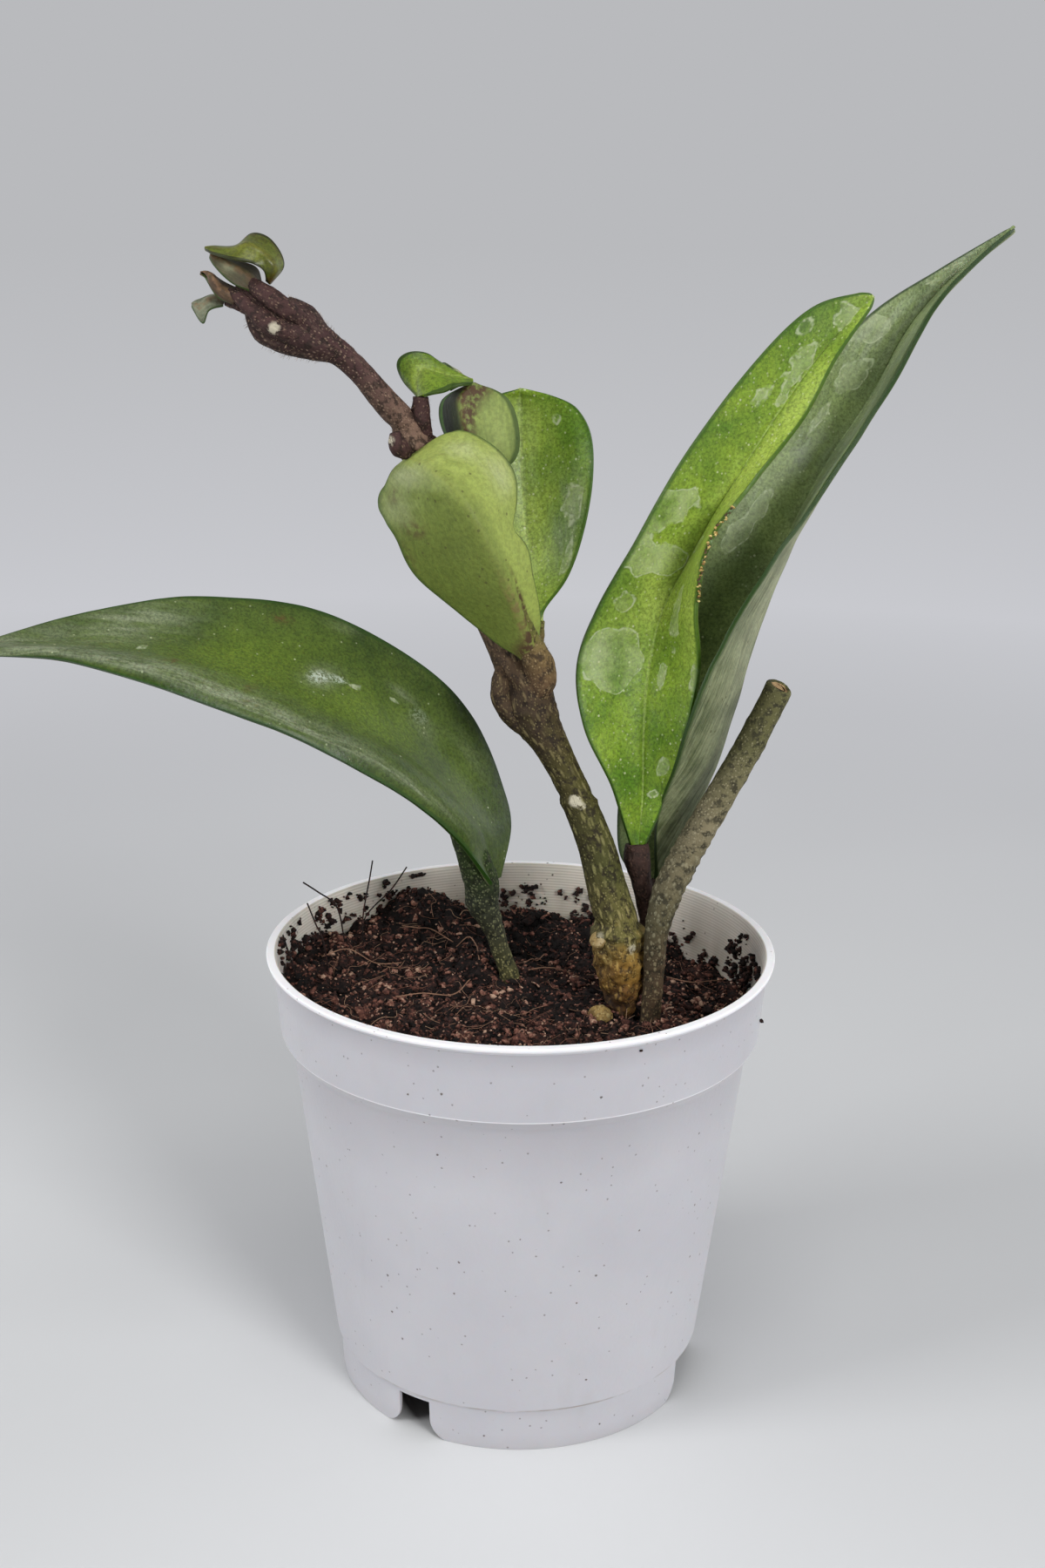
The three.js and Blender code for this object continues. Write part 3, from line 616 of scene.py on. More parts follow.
VISIBLE_BASE = [  # the wide golden foot, in place of the first rows of MAIN_STEM
    (24, -8, 80, 1.6), (24, -7.5, 93, 2.0), (24.1, -7.2, 97, 3.0), (24.1, -7, 101, 4.6),
    (23.9, -6.6, 104, 5.6), (23.4, -6.2, 108, 6.1), (22.8, -5.8, 113, 6.3), (22.5, -5.5, 115.2, 6.0),
    (22.2, -5.2, 117.2, 5.1),
]
PALE_SCARS = [  # x, y, z and reach
    (12.2, -5.4, 146.5, 1.6), (13.8, -5.2, 145, 1.0), (-54.1, -6.5, 252, 1.5), (-54.0, -6.0, 248, 1.2),
    (17.2, -11.4, 115.4, 2.2), (-29.4, -2.0, 227.6, 1.3), (25.5, -10.8, 112.5, 1.5),
]


def barked_bmesh():
    """An empty bmesh whose vertices can hold their place on the bark and how scarred it is there."""
    bm = bmesh.new()
    bm.verts.layers.float_vector.new("bark")
    bm.verts.layers.float.new("scar")
    return bm


def sweep(bm, rows, sides, rings_per_row, relief=None):
    """Fills an empty bmesh with a round stem along rows of x, y, z and radius. Its bark layer, if it has
    one, gets the place on a straightened stem, in millimetres, and its scar layer how scarred that is."""
    centres = [Vector(row[:3]) * MM for row in rows]
    girths = [Vector((i, row[3], 0)) for i, row in enumerate(rows)]
    rings = (len(rows) - 1) * rings_per_row
    bmesh.ops.create_cone(bm, cap_ends=True, cap_tris=False, segments=sides, radius1=1, radius2=1, depth=1)
    lengthways = [e for e in bm.edges if abs(e.verts[0].co.z - e.verts[1].co.z) > 0.5]
    bmesh.ops.subdivide_edges(bm, edges=lengthways, cuts=rings - 1, use_grid_fill=True)
    bark = bm.verts.layers.float_vector.get("bark")
    scar = bm.verts.layers.float.get("scar")
    frames = []
    side = Vector((1, 0, 0))
    length = 0.0
    for ring in range(rings + 1):
        t = ring / rings
        centre = spline(centres, t)
        tangent = heading(centres, t, 0.002)
        side = (side - tangent * side.dot(tangent)).normalized()
        if frames:
            length += (centre - frames[-1][0]).length / MM
        frames.append((centre, side, tangent.cross(side), spline(girths, t).y, length))
    for vert in bm.verts:
        ring = round((vert.co.z + 0.5) * rings)
        centre, side, across, radius, length = frames[ring]
        angle = math.atan2(vert.co.y, vert.co.x)
        outward = side * math.cos(angle) + across * math.sin(angle)
        place = centre + outward * radius * MM
        if bark:
            vert[bark] = (radius * math.cos(angle), radius * math.sin(angle), length)
            vert[scar] = max(bell((place / MM - Vector(spot[:3])).length, spot[3]) for spot in PALE_SCARS)
        swell = relief(place, ring / rings, outward) if relief else 0.0
        vert.co = centre + outward * (radius + swell) * MM


def bark_skin(name, lowest, highest, stops, shade_and_grime, stipple, shade_side=0.7, dashes=0.5, fine=0.6,
              coarse=0.6):
    """Rough bark that changes colour with height, painted shade on its -X side, dark stains, pale scars, a
    fine pale stipple and, most of all low down, lenticels drawn out to dashes."""
    material, tree, shader = new_material(name, IOR=1.4, Specular_IOR_Level=0.3)
    where = add_node(tree, "TexCoord", out="Object")
    split = add_node(tree, "SeparateXYZ", where)
    height = add_node(tree, "MapRange", split.node.outputs[2], lowest * MM, highest * MM)
    waver = add_node(tree, "TexNoise", Vector=where, Scale=160.0, Detail=3.0)
    wander = add_node(tree, "Math", waver, 0.12, height, operation="MULTIPLY_ADD")
    level = add_node(tree, "Math", wander, 0.06, operation="SUBTRACT")
    colour = add_node(tree, "ValToRGB", level, stops=stops)
    on_stem = add_node(tree, "Attribute", out="Vector", attribute_name="bark")
    round_stem = add_node(tree, "SeparateXYZ", on_stem)
    mottle = add_node(tree, "TexNoise", Vector=where, Scale=500.0, Detail=5.0, Roughness=0.7)
    # painted shade on the -X side, patchy with the mottle; the grime patches after it use the same dark
    # colour
    facing = add_node(tree, "MapRange", round_stem, 1.5, -3.0, 0.0, shade_side)
    patchy = add_node(tree, "MapRange", mottle, 0.35, 0.62, 0.15, 1.0)
    shaded = add_node(tree, "Math", facing, patchy, operation="MULTIPLY")
    colour = add_node(tree, "MixRGB", shaded, colour, linear(shade_and_grime))
    grime = add_node(tree, "MapRange", mottle, 0.52, 0.42, 0.0, 0.8)
    colour = add_node(tree, "MixRGB", grime, colour, linear(shade_and_grime))
    pale = add_node(tree, "ValToRGB", level, stops=stipple)
    # stipple in cells of 0.6 mm and lenticels in cells of 1.2 mm, both in some of the cells only
    lower = add_node(tree, "MapRange", height, 0.3, 0.8, coarse, 0.15 * coarse)
    dots = mottle
    for cells_per_mm, stretch, strength in ((1.6, 0.8, fine), (0.85, dashes, lower)):
        drawn = add_node(tree, "VectorMath", on_stem, (1, 1, stretch), operation="MULTIPLY")
        cell = add_node(
            tree, "TexVoronoi", out="Distance", Vector=drawn, Scale=cells_per_mm, Randomness=1.0,
        )
        dot = add_node(tree, "MapRange", cell, 0.20, 0.42, 1.0, 0.0)
        some = add_node(tree, "MapRange", cell.node.outputs["Color"], 0.3, 0.6)
        spot = add_node(tree, "Math", dot, some, operation="MULTIPLY")
        spotted = add_node(tree, "Math", spot, strength, operation="MULTIPLY")
        colour = add_node(tree, "MixRGB", spotted, colour, pale)
        dots = add_node(tree, "Math", spot, 0.5, dots, operation="MULTIPLY_ADD")
    scarred = add_node(tree, "Attribute", out="Fac", attribute_name="scar")
    scar = add_node(
        tree, "Math", scarred, add_node(tree, "MapRange", mottle, 0.36, 0.50, 0.0, 1.3),
        operation="MULTIPLY",
    )
    scar = add_node(tree, "MapRange", scar, 0.35, 0.80, 0.0, 0.7)
    colour = add_node(tree, "MixRGB", scar, colour, linear("#d2cbb4"))
    rougher = add_node(tree, "MapRange", mottle, 0.0, 1.0, 0.60, 0.84)
    bump = add_node(tree, "Bump", Strength=0.7, Distance=0.0005, Height=dots)
    feed(shader, Base_Color=colour, Roughness=rougher, Normal=bump)
    return material


def climbing_bark():
    """The main stem: a corky yellow foot, olive green above it, a brown node, a downy purple-brown shoot."""
    return bark_skin("climbing_bark", 95, 262, [
        (0.00, "#3d2a1c"), (0.03, "#6e4d26"), (0.06, "#8d6a30"), (0.10, "#947a3e"), (0.125, "#6c6638"),
        (0.20, "#4b4c26"), (0.36, "#4a4522"), (0.42, "#433627"), (0.50, "#4d3c2b"), (0.66, "#8c705a"),
        (0.78, "#806656"), (0.90, "#442d2d"), (1.00, "#3f2d2a"),
    ], shade_and_grime="#1f1712", stipple=[
        (0.0, "#7d5f34"), (0.05, "#bf9c54"), (0.11, "#b8a970"), (0.2, "#8d8a58"), (0.36, "#8a8154"),
        (0.5, "#8a7658"), (0.7, "#a58c74"), (1.0, "#a38976"),
    ], dashes=0.3, fine=0.5, coarse=0.6)


def corky_bark():
    """The round scars on the foot and at the soil: pale, dry cork."""
    return bark_skin(
        "corky_bark", 100, 120, [(0.0, "#987f4c"), (1.0, "#a38d5e")], shade_and_grime="#5b4426",
        stipple=[(0.0, "#c2ae78"), (1.0, "#d0c498")], shade_side=0.3,
    )


def cut_stem_bark():
    """The cut stem: dull grey-green bark, browner low down and greyest in the middle."""
    return bark_skin("cut_stem_bark", 95, 176, [
        (0.0, "#4a3828"), (0.18, "#4e4130"), (0.3, "#575139"), (0.55, "#82795e"), (0.8, "#62603e"),
        (1.0, "#5c5a36"),
    ], shade_and_grime="#232117", stipple=[
        (0.0, "#9a8560"), (0.3, "#8d8a70"), (0.6, "#a8a082"), (1.0, "#8c8860"),
    ], dashes=0.7, fine=0.5, coarse=0.55)


def cutting_bark():
    """The short stem under the arching leaf: mottled green-brown, dark green where the leaf joins it."""
    return bark_skin("cutting_bark", 96, 150, [
        (0.0, "#56502e"), (0.12, "#46462a"), (0.25, "#3c3c2c"), (0.42, "#33382a"), (0.52, "#2f3d1c"),
        (1.0, "#35511a"),
    ], shade_and_grime="#1c1f17", stipple=[
        (0.0, "#b3a86e"), (0.3, "#8f9168"), (0.5, "#838a64"), (1.0, "#557030"),
    ], dashes=0.9, fine=0.6, coarse=0.5)


def shoot_skin(name, base, light):
    """The skin of young petioles and sheaths: purple-brown, matt, with tan down."""
    return bark_skin(
        name, 100, 262, [(0.0, base), (1.0, base)], shade_and_grime="#241a16", stipple=[(0.0, light), (1.0, light)],
        shade_side=0.4, fine=0.45, coarse=0.1,
    )


def petiole_skin():
    """The tan-brown, slightly rough skin of the hooded and the round leaf's petioles, greener higher up."""
    return bark_skin("petiole_skin", 166, 186, [
        (0.0, "#453727"), (0.4, "#6b543b"), (0.75, "#77633f"), (1.0, "#6f7038"),
    ], shade_and_grime="#2b2018", stipple=[(0.0, "#9a8460"), (1.0, "#b09a70")], dashes=0.9, fine=0.6, coarse=0.4,
        shade_side=0.85)


def cut_wood():
    """The dry cut face: matt, tan and fibrous."""
    material, tree, shader = new_material("dry_cut_wood", Roughness=0.85, Specular_IOR_Level=0.2)
    where = add_node(tree, "TexCoord", out="Object")
    fibres = add_node(tree, "TexNoise", Vector=where, Scale=700.0, Detail=4.0)
    colour = add_node(
        tree, "ValToRGB", fibres, stops=[(0.3, "#59422e"), (0.5, "#927856"), (0.7, "#ab9069")],
    )
    bump = add_node(tree, "Bump", Strength=0.5, Distance=0.0004, Height=fibres)
    feed(shader, Base_Color=colour, Normal=bump)
    return material


FOOT_TOP = 115.0  # height where the corky foot ends
HOLLOW = Vector((-3.4, -3.4, 172.0)) * MM  # between the main stem and the bud beside it
RING_SCARS = [  # height and depth of the rings on the main stem
    (115.0, 0.5), (117.4, -0.4), (145.5, 0.35), (147.0, -0.3), (166.0, 0.3), (226.0, 0.7), (229.5, -0.4),
]
LUMPY_NODES = [(168, 5, 0.6), (226, 4, 1.0), (250, 6, 0.3)]  # height, reach and lumpiness


def sheath_grooves(outward, t):
    """How far in mm the swollen shoot bulges between the two long grooves of its sheaths."""
    facing = math.atan2(outward.z, -outward.y)
    window = bell(t - 0.925, 0.045)
    bulge = 0.5 * math.cos(2.4 * facing + 1.1)
    slanting_groove = 1.3 * bell(facing - 0.55 - 6 * (t - 0.92), 0.16)
    straight_groove = 0.9 * bell(facing + 0.55, 0.13)
    return window * (bulge - slanting_groove - straight_groove)


def main_stem_relief(place, t, outward):
    """How far in mm the bark swells: a knobbly foot, grooves, ribs above the foot, rings and lumpy nodes."""
    height = place.z / MM
    foot = 1 / (1 + math.exp((height - FOOT_TOP) / 0.8))
    around = math.atan2(outward.y, outward.x)
    swell = foot * (0.8 * grain(place, 3.0) + 0.7 * grain(place, 1.6) + 0.3 * grain(place, 0.9))
    swell += sheath_grooves(outward, t) + 0.10 * grain(place, 1.4)
    swell += 0.13 * math.sin(17 * around + 3 * grain(place, 6)) * bell(height - 128, 14)
    for ring, depth in RING_SCARS:
        swell += depth * bell(height - ring + 1.2 * grain(place, 5), 0.8)
    for node, reach, lumpy in LUMPY_NODES:
        swell += lumpy * bell(height - node, reach) * (0.7 * grain(place, 2.2) + 0.35 * grain(place, 1.1))
    return swell - 1.8 * bell((place - HOLLOW).length / MM, 2.6)


def cut_stem_relief(place, t, outward):
    """How far in mm the cut stem's bark swells: uneven, with fine wrinkles in the middle."""
    wrinkles = 0.16 * math.sin(t * 190 + 3 * grain(place, 4)) * bell(t - 0.62, 0.2)
    return 0.2 * grain(place, 2.5) + 0.14 * grain(place, 0.9) + wrinkles


def plain_relief(place, t, outward):
    """How far in mm the skin of the other stems and the petioles swells: slightly uneven."""
    return 0.22 * grain(place, 2.2) + 0.12 * grain(place, 0.8)


def stem(name, rows, skin, node, relief=plain_relief, sides=40, rings_per_row=12):
    """A stem, petiole or bud along rows, in the skin of that name."""
    bm = barked_bmesh()
    sweep(bm, rows, sides, rings_per_row, relief)
    show(name, bm, [bpy.data.materials[skin]], [node] if node else ())


CUT_FACE = (0.42, -0.20, 0.88)  # the direction that it faces
CUT_STEPS = [  # width and depth of the steps from the rim to the middle of the cut face
    (0.20, 0.35), (0.35, 0.20), (0.30, 0.0), (0.2, -0.35), (0.5, -0.1),
]


def cut_stem():
    """The cut stem ends in a flat face, a little sunk inside its dark rim."""
    bm = barked_bmesh()
    sweep(bm, CUT_STEM, 40, 14, cut_stem_relief)
    x, y, z, _ = CUT_STEM[-1]
    bmesh.ops.bisect_plane(
        bm, geom=list(bm.verts) + list(bm.edges) + list(bm.faces), clear_outer=True,
        plane_co=Vector((x - 1, y, z - 1.8)) * MM, plane_no=CUT_FACE,
    )
    bmesh.ops.contextual_create(bm, geom=[edge for edge in bm.edges if edge.is_boundary])
    # the end is the many-sided face at the top
    end = max(bm.faces, key=lambda face: len(face.verts) * (face.calc_center_median().z > 150 * MM))
    for width, depth in CUT_STEPS:
        bmesh.ops.inset_region(bm, faces=[end], thickness=width * MM, depth=depth * MM)
    end.material_index = 1
    for face in {other for edge in end.edges for other in edge.link_faces}:
        face.material_index = 1
    show("grey_cut_stem", bm, [cut_stem_bark(), cut_wood()], ["cut_stem"])


# ---------- leaves ----------

def waxy_leaf(name, deep, mid, glow, dust_and_sheen, vein_and_light, margin, flecks=0.8, rib_tone=0.25, rim=None, shaded_rim_start=0.9,
              margin_start=0.94):
    """The upper face of a thick waxy leaf: clouded green with a soft shine, zones of painted light, a pale
    midrib and faint side veins, dried water marks with bright outlines, dust that also carries painted sheen,
    scattered white flecks and a darker margin. The last margin can have a broad rim of painted shade, where
    it turns from the light."""
    material, tree, shader = new_material(
        name, IOR=1.45, Specular_IOR_Level=0.35, Subsurface_Weight=0.06, Subsurface_Scale=0.001,
        Coat_Weight=0.05, Coat_Roughness=0.25,
    )
    where = add_node(tree, "TexCoord", out="Object")
    on_leaf = add_node(tree, "Attribute", out="Vector", attribute_name="place")
    across, along, edge = add_node(tree, "SeparateXYZ", on_leaf).node.outputs
    tint = add_node(tree, "SeparateXYZ", add_node(tree, "Attribute", out="Vector", attribute_name="tint"))
    glowing, dust_and_sheen_tint, scorched = tint.node.outputs
    cloud = add_node(tree, "TexNoise", Vector=where, Scale=90.0, Detail=5.0, Roughness=0.6)
    mottle = add_node(tree, "TexNoise", Vector=where, Scale=650.0, Detail=3.0)
    colour = add_node(tree, "ValToRGB", cloud, stops=[(0.36, deep), (0.62, mid)])
    # painted light: brighter zones, broken up by the clouding
    cloudy = add_node(tree, "MapRange", cloud, 0.30, 0.60, 0.55, 1.0)
    lit = add_node(tree, "Math", glowing, cloudy, operation="MULTIPLY")
    colour = add_node(tree, "MixRGB", lit, colour, linear(glow))
    soft = add_node(tree, "MapRange", mottle, 0.35, 0.65, 0.0, 0.22)
    colour = add_node(tree, "MixRGB", soft, colour, linear(deep))
    # veins: a pale midrib, and side veins about 8 mm apart that run towards the tip
    aside = add_node(tree, "Math", across, operation="ABSOLUTE")
    rib = add_node(tree, "MapRange", aside, 0.25, 0.8, rib_tone, 0.0)
    slant = add_node(tree, "Math", aside, -1.1, along, operation="MULTIPLY_ADD")
    bent = add_node(tree, "Math", cloud, 9.0, slant, operation="MULTIPLY_ADD")
    wave = add_node(tree, "Math", bent, 4.0, operation="PINGPONG")
    side_vein = add_node(tree, "MapRange", wave, 0.0, 0.8, 0.05, 0.0)
    veins = add_node(tree, "Math", rib, side_vein, operation="MAXIMUM")
    colour = add_node(tree, "MixRGB", veins, colour, linear(vein_and_light))
    # dust and wax, and painted sheen, drawn out in streaks along the leaf
    stretched = add_node(tree, "VectorMath", on_leaf, (0.5, 0.09, 0.0), operation="MULTIPLY")
    streaks = add_node(tree, "TexNoise", Vector=stretched, Scale=1.0, Detail=5.0, Roughness=0.65)
    streaky = add_node(tree, "MapRange", streaks, 0.38, 0.62, 0.25, 1.0)
    dust = add_node(tree, "Math", dust_and_sheen_tint, streaky, operation="MULTIPLY")
    colour = add_node(tree, "MixRGB", dust, colour, linear(dust_and_sheen))
    # the grain of the skin, about 0.7 mm, and white scurf in granular patches
    skin = add_node(tree, "TexNoise", Vector=where, Scale=1500.0, Detail=3.0, Roughness=0.7)
    tone = add_node(tree, "ValToRGB", skin, stops=[(0.36, "#a2a2a2"), (0.60, "#ffffff")])
    colour = add_node(tree, "MixRGB", 0.75, colour, tone, blend_type="MULTIPLY")
    scurfy = add_node(tree, "MapRange", scorched, -0.15, -0.7)
    granular = add_node(tree, "MapRange", skin, 0.46, 0.54, 0.0, 0.85)
    scurf = add_node(tree, "Math", scurfy, granular, operation="MULTIPLY")
    colour = add_node(tree, "MixRGB", scurf, colour, linear("#b9c4b4"))
    # dried water marks: a faint pale fill inside a thin bright outline
    mark = add_node(tree, "Attribute", out="Fac", attribute_name="mark")
    filled = add_node(tree, "MapRange", mark, 0.1, -0.3, 0.0, 1.0)
    patchy = add_node(tree, "MapRange", cloud, 0.40, 0.64, 0.06, 0.42)
    inside = add_node(tree, "Math", filled, patchy, operation="MULTIPLY")
    off = add_node(tree, "Math", mark, operation="ABSOLUTE")
    outline = add_node(tree, "MapRange", off, 0.10, 0.36, 0.65, 0.0)
    broken = add_node(tree, "MapRange", mottle, 0.40, 0.56, 0.2, 1.0)
    ring = add_node(tree, "Math", outline, broken, operation="MULTIPLY")
    marked = add_node(tree, "Math", inside, ring, operation="MAXIMUM")
    colour = add_node(tree, "MixRGB", marked, colour, linear("#bcc5a2"))
    # flecks about 0.4 mm across, and finer and fainter ones between them
    for scale, widest, strength in ((520.0, 0.10, 0.65), (1000.0, 0.17, 0.35)):
        cells = add_node(tree, "TexVoronoi", out="Distance", Vector=where, Scale=scale)
        dot = add_node(tree, "MapRange", cells, widest, 1.8 * widest, strength, 0.0)
        some = add_node(tree, "Math", cells.node.outputs["Color"], flecks, operation="GREATER_THAN")
        fleck = add_node(tree, "Math", dot, some, operation="MULTIPLY")
        colour = add_node(tree, "MixRGB", fleck, colour, linear("#c9cfa6"))
    # brown scorching, and the margin
    burnt = add_node(tree, "MapRange", mottle, 0.42, 0.58)
    scorch = add_node(tree, "Math", scorched, burnt, operation="MULTIPLY")
    colour = add_node(tree, "MixRGB", scorch, colour, linear("#5a3d22"))
    # painted shade: a broad rim where the last margin turns away from the light
    if rim:
        broad = add_node(tree, "MapRange", edge, shaded_rim_start, shaded_rim_start + 0.04, 0.0, 0.8)
        colour = add_node(tree, "MixRGB", broad, colour, linear(rim))
    outer = add_node(tree, "Math", edge, operation="ABSOLUTE")
    border = add_node(tree, "MapRange", outer, margin_start, margin_start + 0.045, 0.0, 0.85)
    colour = add_node(tree, "MixRGB", border, colour, linear(margin))
    worn = add_node(tree, "MapRange", cloud, 0.3, 0.7, 0.34, 0.46)
    dull = add_node(tree, "Math", dust, 0.22, worn, operation="MULTIPLY_ADD")
    relief = add_node(tree, "Math", veins, -0.8, mottle, operation="MULTIPLY_ADD")
    bump = add_node(tree, "Bump", Strength=0.3, Distance=0.0005, Height=relief)
    feed(shader, Base_Color=colour, Roughness=dull, Normal=bump)
    return material


def leaf_underside(name, deep, pale, vein_and_light, contrast=(0.38, 0.60), border_start=0.94, shaded_half=None,
                   painted_light_rim=None):
    """The underside of a leaf: paler and more matt, with zones of painted light, dust that also carries
    painted sheen, fine streaky veins along it, a knobbly midrib, small dark dots and a dark border. The half
    by the first margin can carry painted shade, with a painted rim of light along that margin."""
    material, tree, shader = new_material(
        name, IOR=1.42, Specular_IOR_Level=0.4, Subsurface_Weight=0.05, Subsurface_Scale=0.001,
    )
    where = add_node(tree, "TexCoord", out="Object")
    on_leaf = add_node(tree, "Attribute", out="Vector", attribute_name="place")
    across, along, edge = add_node(tree, "SeparateXYZ", on_leaf).node.outputs
    tint = add_node(tree, "SeparateXYZ", add_node(tree, "Attribute", out="Vector", attribute_name="tint"))
    glowing, dust_and_sheen_tint, scorched = tint.node.outputs
    stretched = add_node(tree, "VectorMath", on_leaf, (1.3, 0.06, 0.0), operation="MULTIPLY")
    streaks = add_node(tree, "TexNoise", Vector=stretched, Scale=1.0, Detail=5.0, Roughness=0.6)
    cloud = add_node(tree, "TexNoise", Vector=where, Scale=110.0, Detail=4.0)
    mottle = add_node(tree, "TexNoise", Vector=where, Scale=700.0, Detail=3.0)
    mixed = add_node(tree, "Math", streaks, cloud, operation="ADD")
    colour = add_node(
        tree, "ValToRGB", add_node(tree, "Math", mixed, 0.5, operation="MULTIPLY"),
        stops=[(contrast[0], deep), (contrast[1], pale)],
    )
    # painted shade on the half by the first margin, and a painted rim of light along that margin
    if shaded_half:
        first = add_node(tree, "MapRange", edge, -0.02, -0.22, 0.0, 0.92)
        colour = add_node(tree, "MixRGB", first, colour, linear(shaded_half))
        rim = add_node(tree, "MapRange", edge, -0.80, -0.86, 0.0, 1.0)
        colour = add_node(tree, "MixRGB", rim, colour, linear(painted_light_rim))
    # painted light in the lit zones, then dust streaks that carry painted sheen too
    lit = add_node(tree, "MapRange", glowing, 0.0, 1.0, 0.0, 0.9)
    colour = add_node(tree, "MixRGB", lit, colour, linear(vein_and_light))
    dust = add_node(tree, "Math", dust_and_sheen_tint, streaks, operation="MULTIPLY")
    colour = add_node(tree, "MixRGB", dust, colour, linear("#c6c8a4"))
    # the midrib is brown and knotty near the petiole
    aside = add_node(tree, "Math", across, operation="ABSOLUTE")
    rib = add_node(tree, "MapRange", aside, 0.5, 1.3, 0.55, 0.0)
    knots = add_node(tree, "MapRange", mottle, 0.42, 0.58, 0.2, 1.0)
    fading = add_node(tree, "MapRange", along, 14.0, 26.0, 1.0, 0.1)
    knotty = add_node(tree, "Math", knots, fading, operation="MULTIPLY")
    ribbed = add_node(tree, "Math", rib, knotty, operation="MULTIPLY")
    colour = add_node(tree, "MixRGB", ribbed, colour, linear("#8b6a4c"))
    # the grain of the skin, about 1 mm, and dark dots about 0.4 mm across
    skin = add_node(tree, "TexNoise", Vector=where, Scale=1000.0, Detail=4.0, Roughness=0.7)
    tone = add_node(tree, "ValToRGB", skin, stops=[(0.36, "#9c9c9c"), (0.60, "#ffffff")])
    colour = add_node(tree, "MixRGB", 0.4, colour, tone, blend_type="MULTIPLY")
    cells = add_node(tree, "TexVoronoi", Vector=where, Scale=520.0)
    dot = add_node(tree, "MapRange", cells, 0.14, 0.22, 0.7, 0.0)
    chosen = add_node(tree, "Math", cells.node.outputs["Color"], 0.72, operation="GREATER_THAN")
    fleck = add_node(tree, "Math", dot, chosen, operation="MULTIPLY")
    colour = add_node(tree, "MixRGB", fleck, colour, linear("#4c4a26"))
    # brown scorching, and the border
    burnt = add_node(tree, "MapRange", mottle, 0.36, 0.54)
    scorch = add_node(tree, "Math", scorched, burnt, operation="MULTIPLY")
    colour = add_node(tree, "MixRGB", scorch, colour, linear("#4e3a26"))
    outer = add_node(tree, "Math", edge, operation="ABSOLUTE")
    border = add_node(tree, "MapRange", outer, border_start, border_start + 0.05, 0.0, 0.8)
    colour = add_node(tree, "MixRGB", border, colour, linear("#34491c"))
    rough = add_node(tree, "MapRange", cloud, 0.0, 1.0, 0.48, 0.66)
    relief = add_node(tree, "Math", streaks, mottle, operation="ADD")
    bump = add_node(tree, "Bump", Strength=0.3, Distance=0.0004, Height=relief)
    feed(shader, Base_Color=colour, Roughness=rough, Normal=bump)
    return material


def soft_zones(zones, u, t, width, length):
    """How much of the zones reaches a place; each is u, t, its reach across and along in mm, and strength."""
    total = 0.0
    for zone_u, zone_t, reach_across, reach_along, strength in zones:
        across = bell((u - zone_u) * width, reach_across)
        along = bell((t - zone_t) * length, reach_along)
        total += strength * across * along
    return min(total, 1.0)


def mark_distance(marks, u, t, width, length, place):
    """The distance in mm to the nearest water mark's outline, negative inside it. Each mark is its u and t
    and half its size across and along in mm."""
    nearest = 9.0
    for mark_u, mark_t, half_across, half_along in marks:
        off = math.hypot((u - mark_u) * width / half_across, (t - mark_t) * length / half_along)
        reach = min(half_across, half_along)
        ragged = 0.6 * grain(place, 1.6 * reach) + 0.45 * grain(place, 0.7 * reach)
        nearest = min(nearest, (off - 1 + ragged) * reach)
    return nearest + 0.12 * grain(place, 1.0)


def margin_push(pushes, u, t):
    """How far in mm a place near a margin is pushed across; each push is side, t, distance and reach in t."""
    total = 0.0
    for margin, at, distance, reach in pushes:
        nearness = max(0, 1 - 4 * abs(u - margin)) ** 2
        total += distance * bell(t - at, reach) * nearness * (1 if margin else -1)
    return total


def across_leaf(section, u, crease):
    """A place across a section, between a smooth curve and one folded sharply at the midrib."""
    points = [Vector(point) * MM for point in section]
    smooth = spline(points, u)
    if len(points) != 3:
        return smooth
    folded = points[0].lerp(points[1], 2 * u) if u < 0.5 else points[1].lerp(points[2], 2 * u - 1)
    return smooth.lerp(folded, crease)


def leaf_surface(sections, across, along, crease):
    """A leaf's middle surface as columns of points along it, each at one share of its width, and the
    shares across and along it that they stand at. Both are closer together at the leaf's ends."""
    shares = [0.5 - 0.5 * math.cos(math.pi * i / across) for i in range(across + 1)]
    stations = [0.3 * j / along + 0.7 * (0.5 - 0.5 * math.cos(math.pi * j / along)) for j in range(along + 1)]
    columns = []
    for u in shares:
        points = [across_leaf(section, u, crease) for section in sections]
        columns.append([spline(points, t) for t in stations])
    return shares, stations, columns


